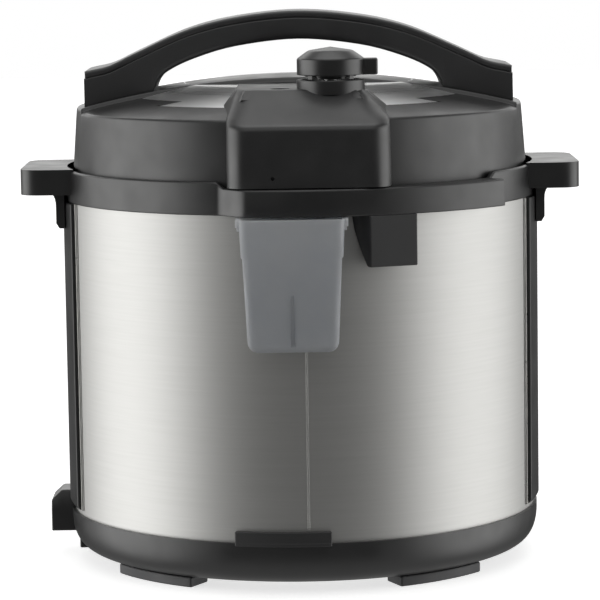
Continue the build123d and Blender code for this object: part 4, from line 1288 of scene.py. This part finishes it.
def make_inlet():
    piece(inlet_hood(), "base", "black_plastic", BLACK, ["inlet_hood"], edge=0.8)
    floor = prism(socket_outline(11.9, 17.3, 28.3, 32.1), -138.4, -136.8, "x")
    build("inlet_floor", floor, "base", "dark_insert", DARK, ["mains_inlet"], edge=0.3)
    pins = joined(*[inlet_pin(y, z) for y, z in ((-7, 23.0), (0, 26.6), (7, 23.0))])
    build("inlet_blades", pins, "base", "pin_brass", BRASS, ["inlet_pins"], edge=0.3, steps=2)


def make_panel():
    piece(control_fascia(), "base", "panel_gloss", GLOSS, ["control_fascia"], edge=0.9, angle=40)
    build("lens_plate", display_lens(), "base", "lens_dark", LENS, ["display_lens"], edge=0.4)
    build("display_digits", display_marks(), "base", "lens_dark", GLOW)
    for number, node in enumerate(KEY_NODES, start=1):
        build(f"key_cap_{number}", key_cap(node), f"key_{number}", "key_plastic", KEYS, [node], edge=0.7)
    marks = joined(*[key_mark(node) for node in KEY_NODES])
    build("key_marks", marks, "base", "key_plastic", KEY_PRINT)


def make_chamber():
    build("cooking_pot", inner_pot(), "pot", "pot_steel", POT_STEEL, ["inner_pot"], angle=40)
    build("chamber_shell", outer_pot(), "base", "pot_steel", POT_STEEL, ["outer_pot"], angle=40)
    build("hot_plate", heater_plate(), "base", "cast_aluminium", ALUMINIUM, ["heater_plate"], angle=40)


def make_lid():
    build("cover_shell", lid_cover(), "lid", "black_plastic", BLACK, ["lid_cover"], edge=0.55, angle=50)
    piece(trim_disc(), "lid", "disc_steel", DISC_STEEL, ["lid_trim_disc"])
    build("arch_body", handle_body(), "lid", "black_plastic", BLACK_HANDLE, ["handle_body"], angle=50)
    build("arch_cap", handle_cap(), "lid", "black_plastic", BLACK_HANDLE, ["handle_cap"], angle=50)
    build("arch_joint", handle_core(), "lid", "black_plastic", DARK)
    hub = mesh_object("hub_shell", valve_hub())
    well = lathe(rectangle(0, 5.6, 262.0, 290.0), 48, FLOAT)
    turns = [2 * pi * k / 20 for k in range(20)]
    hole = [(DOT_X + DOT_R * cos(t), DOT_Z + DOT_R * sin(t)) for t in turns]
    dot = prism(hole, HUB_FRONT[0][0] - 1.0, HUB_FRONT[0][0] + 4.0, "y")
    piece(cut(hub, well, dot), "lid", "black_plastic", BLACK, ["valve_hub"], edge=1.0, angle=42)
    piece(cut(hub_flare(), well), "lid", "black_plastic", BLACK, edge=0.8, angle=30)
    build("knob_boss", knob_boss(), "lid", "black_plastic", BLACK, angle=40)
    build("pressed_lid", pressure_lid(), "lid", "pot_steel", POT_STEEL, ["pressure_lid"], angle=45)
    build("seal_ring", sealing_ring(), "seal", "silicone", SILICONE, ["sealing_ring"], angle=60)
    build("release_knob", steam_knob(), "knob", "black_plastic", BLACK, ["steam_knob"], angle=40)
    build("release_tab", knob_tab(), "knob", "black_plastic", BLACK, edge=0.8)


def make_cup():
    cup = joined(condensation_cup(), cup_rib())
    build("drip_cup", cup, "cup", "cup_plastic", CUP, ["condensation_cup"], angle=50)
    build("drip_cup_ears", cup_ears(), "cup", "cup_plastic", CUP, edge=0.4)


# ---- studio ------------------------------------------------------------------------------------
def make_floor():
    """Large pale sheet under the object."""
    mesh = bpy.data.meshes.new("studio_floor")
    mesh.from_pydata([(x, y, 0.0) for x, y in rectangle(-6.0, 6.0, -6.0, 6.0)], [], [(0, 1, 2, 3)])
    floor = bpy.data.objects.new("studio_floor", mesh)
    bpy.context.scene.collection.objects.link(floor)
    mesh.materials.append(floor_paint())


def make_world():
    """White backdrop for the eye; for reflections a dim room with a large softbox on each side."""
    world = bpy.data.worlds.new("studio")
    world.use_nodes = True
    bpy.context.scene.world = world
    tree = world.node_tree

    def node(kind, **inputs):
        made = tree.nodes.new(kind)
        for key, value in inputs.items():
            made.inputs[key.replace("_", " ")].default_value = value
        return made

    def spread(source, low, high, start, end):
        made = node("ShaderNodeMapRange", From_Min=start, From_Max=end, To_Min=low, To_Max=high)
        made.interpolation_type = "SMOOTHSTEP"
        tree.links.new(source, made.inputs["Value"])
        return made.outputs["Result"]

    def maths(operation, first, second):
        made = tree.nodes.new("ShaderNodeMath")
        made.operation = operation
        for socket, value in zip(made.inputs, (first, second)):
            if isinstance(value, (int, float)):
                socket.default_value = value
            else:
                tree.links.new(value, socket)
        return made.outputs[0]

    texture = tree.nodes.new("ShaderNodeTexCoord")
    split = tree.nodes.new("ShaderNodeSeparateXYZ")
    tree.links.new(texture.outputs["Generated"], split.inputs["Vector"])
    x, y, z = (split.outputs[axis] for axis in "XYZ")
    tall = maths("MULTIPLY", spread(z, 1.0, 0.0, SOFTBOX_TOP, SOFTBOX_TOP + 0.25),
                 spread(z, 0.0, 1.0, -SOFTBOX_TOP - 0.25, -SOFTBOX_TOP))
    left = maths("MULTIPLY", spread(x, SOFTBOX_LEFT, 0.0, -SOFTBOX_INNER, -SOFTBOX_OUTER), tall)
    right = maths("MULTIPLY", spread(x, 0.0, SOFTBOX_RIGHT, SOFTBOX_OUTER, SOFTBOX_INNER), tall)
    height = maths("ADD", spread(z, HORIZON_GLOW, 0.0, 0.60, 0.72), BACK_GLOW)
    behind = maths("MULTIPLY", spread(y, 0.0, 1.0, 0.45, 0.85), height)
    back = maths("MULTIPLY", behind, spread(z, 0.0, 1.0, -0.02, 0.06))
    over = maths("ADD", spread(z, 0.0, TOP_GLOW, 0.70, 0.95), spread(z, FLOOR_GLOW, 0.0, -0.75, -0.25))
    front = maths("MULTIPLY", spread(y, FRONT_GLOW, 0.0, -0.75, -0.35), spread(z, 0.0, 1.0, 0.35, 0.60))
    around = maths("ADD", maths("ADD", left, right), maths("ADD", back, front))
    total = maths("ADD", around, maths("ADD", over, ROOM))
    room = tree.nodes["Background"]
    room.inputs["Color"].default_value = (1.0, 1.0, 0.99, 1.0)
    tree.links.new(total, room.inputs["Strength"])
    backdrop = node("ShaderNodeBackground", Color=(1, 1, 1, 1), Strength=1.0)
    path = tree.nodes.new("ShaderNodeLightPath")
    mix = tree.nodes.new("ShaderNodeMixShader")
    tree.links.new(path.outputs["Is Camera Ray"], mix.inputs["Fac"])
    tree.links.new(room.outputs["Background"], mix.inputs[1])
    tree.links.new(backdrop.outputs["Background"], mix.inputs[2])
    tree.links.new(mix.outputs["Shader"], tree.nodes["World Output"].inputs["Surface"])


def make_lights():
    """Weak overhead panel that settles the object on the floor."""
    data = bpy.data.lights.new("softbox_top", "AREA")
    data.shape = "RECTANGLE"
    data.size, data.size_y = 1.2, 1.0
    data.energy = 4.0
    place, aim = Vector((0.0, 0.1, 1.8)), Vector((0.0, 0.0, 0.2))
    lamp = bpy.data.objects.new("softbox_top", data)
    bpy.context.scene.collection.objects.link(lamp)
    lamp.location = place
    lamp.rotation_euler = (aim - place).to_track_quat("-Z", "Y").to_euler()


def make_camera():
    """Level view of the hub's side from 1.8 m, a little above the lid, rolled by under a degree."""
    data = bpy.data.cameras.new("camera")
    data.lens = 182.5
    data.sensor_width = 36.0
    camera = bpy.data.objects.new("camera", data)
    bpy.context.scene.collection.objects.link(camera)
    place, aim = Vector((0.0, -1.812, 0.372)), Vector((-0.0010, 0.0, 0.151))
    camera.location = place
    look = (aim - place).to_track_quat("-Z", "Y").to_matrix().to_4x4()
    roll = Matrix.Rotation(radians(-0.87), 4, "Z")
    camera.matrix_world = Matrix.Translation(place) @ look @ roll
    bpy.context.scene.camera = camera


for step in (dress_cad_nodes, make_base, make_inlet, make_panel, make_chamber, make_lid, make_cup,
             make_floor, make_world, make_lights, make_camera):
    step()
bpy.context.scene.view_settings.view_transform = "Standard"
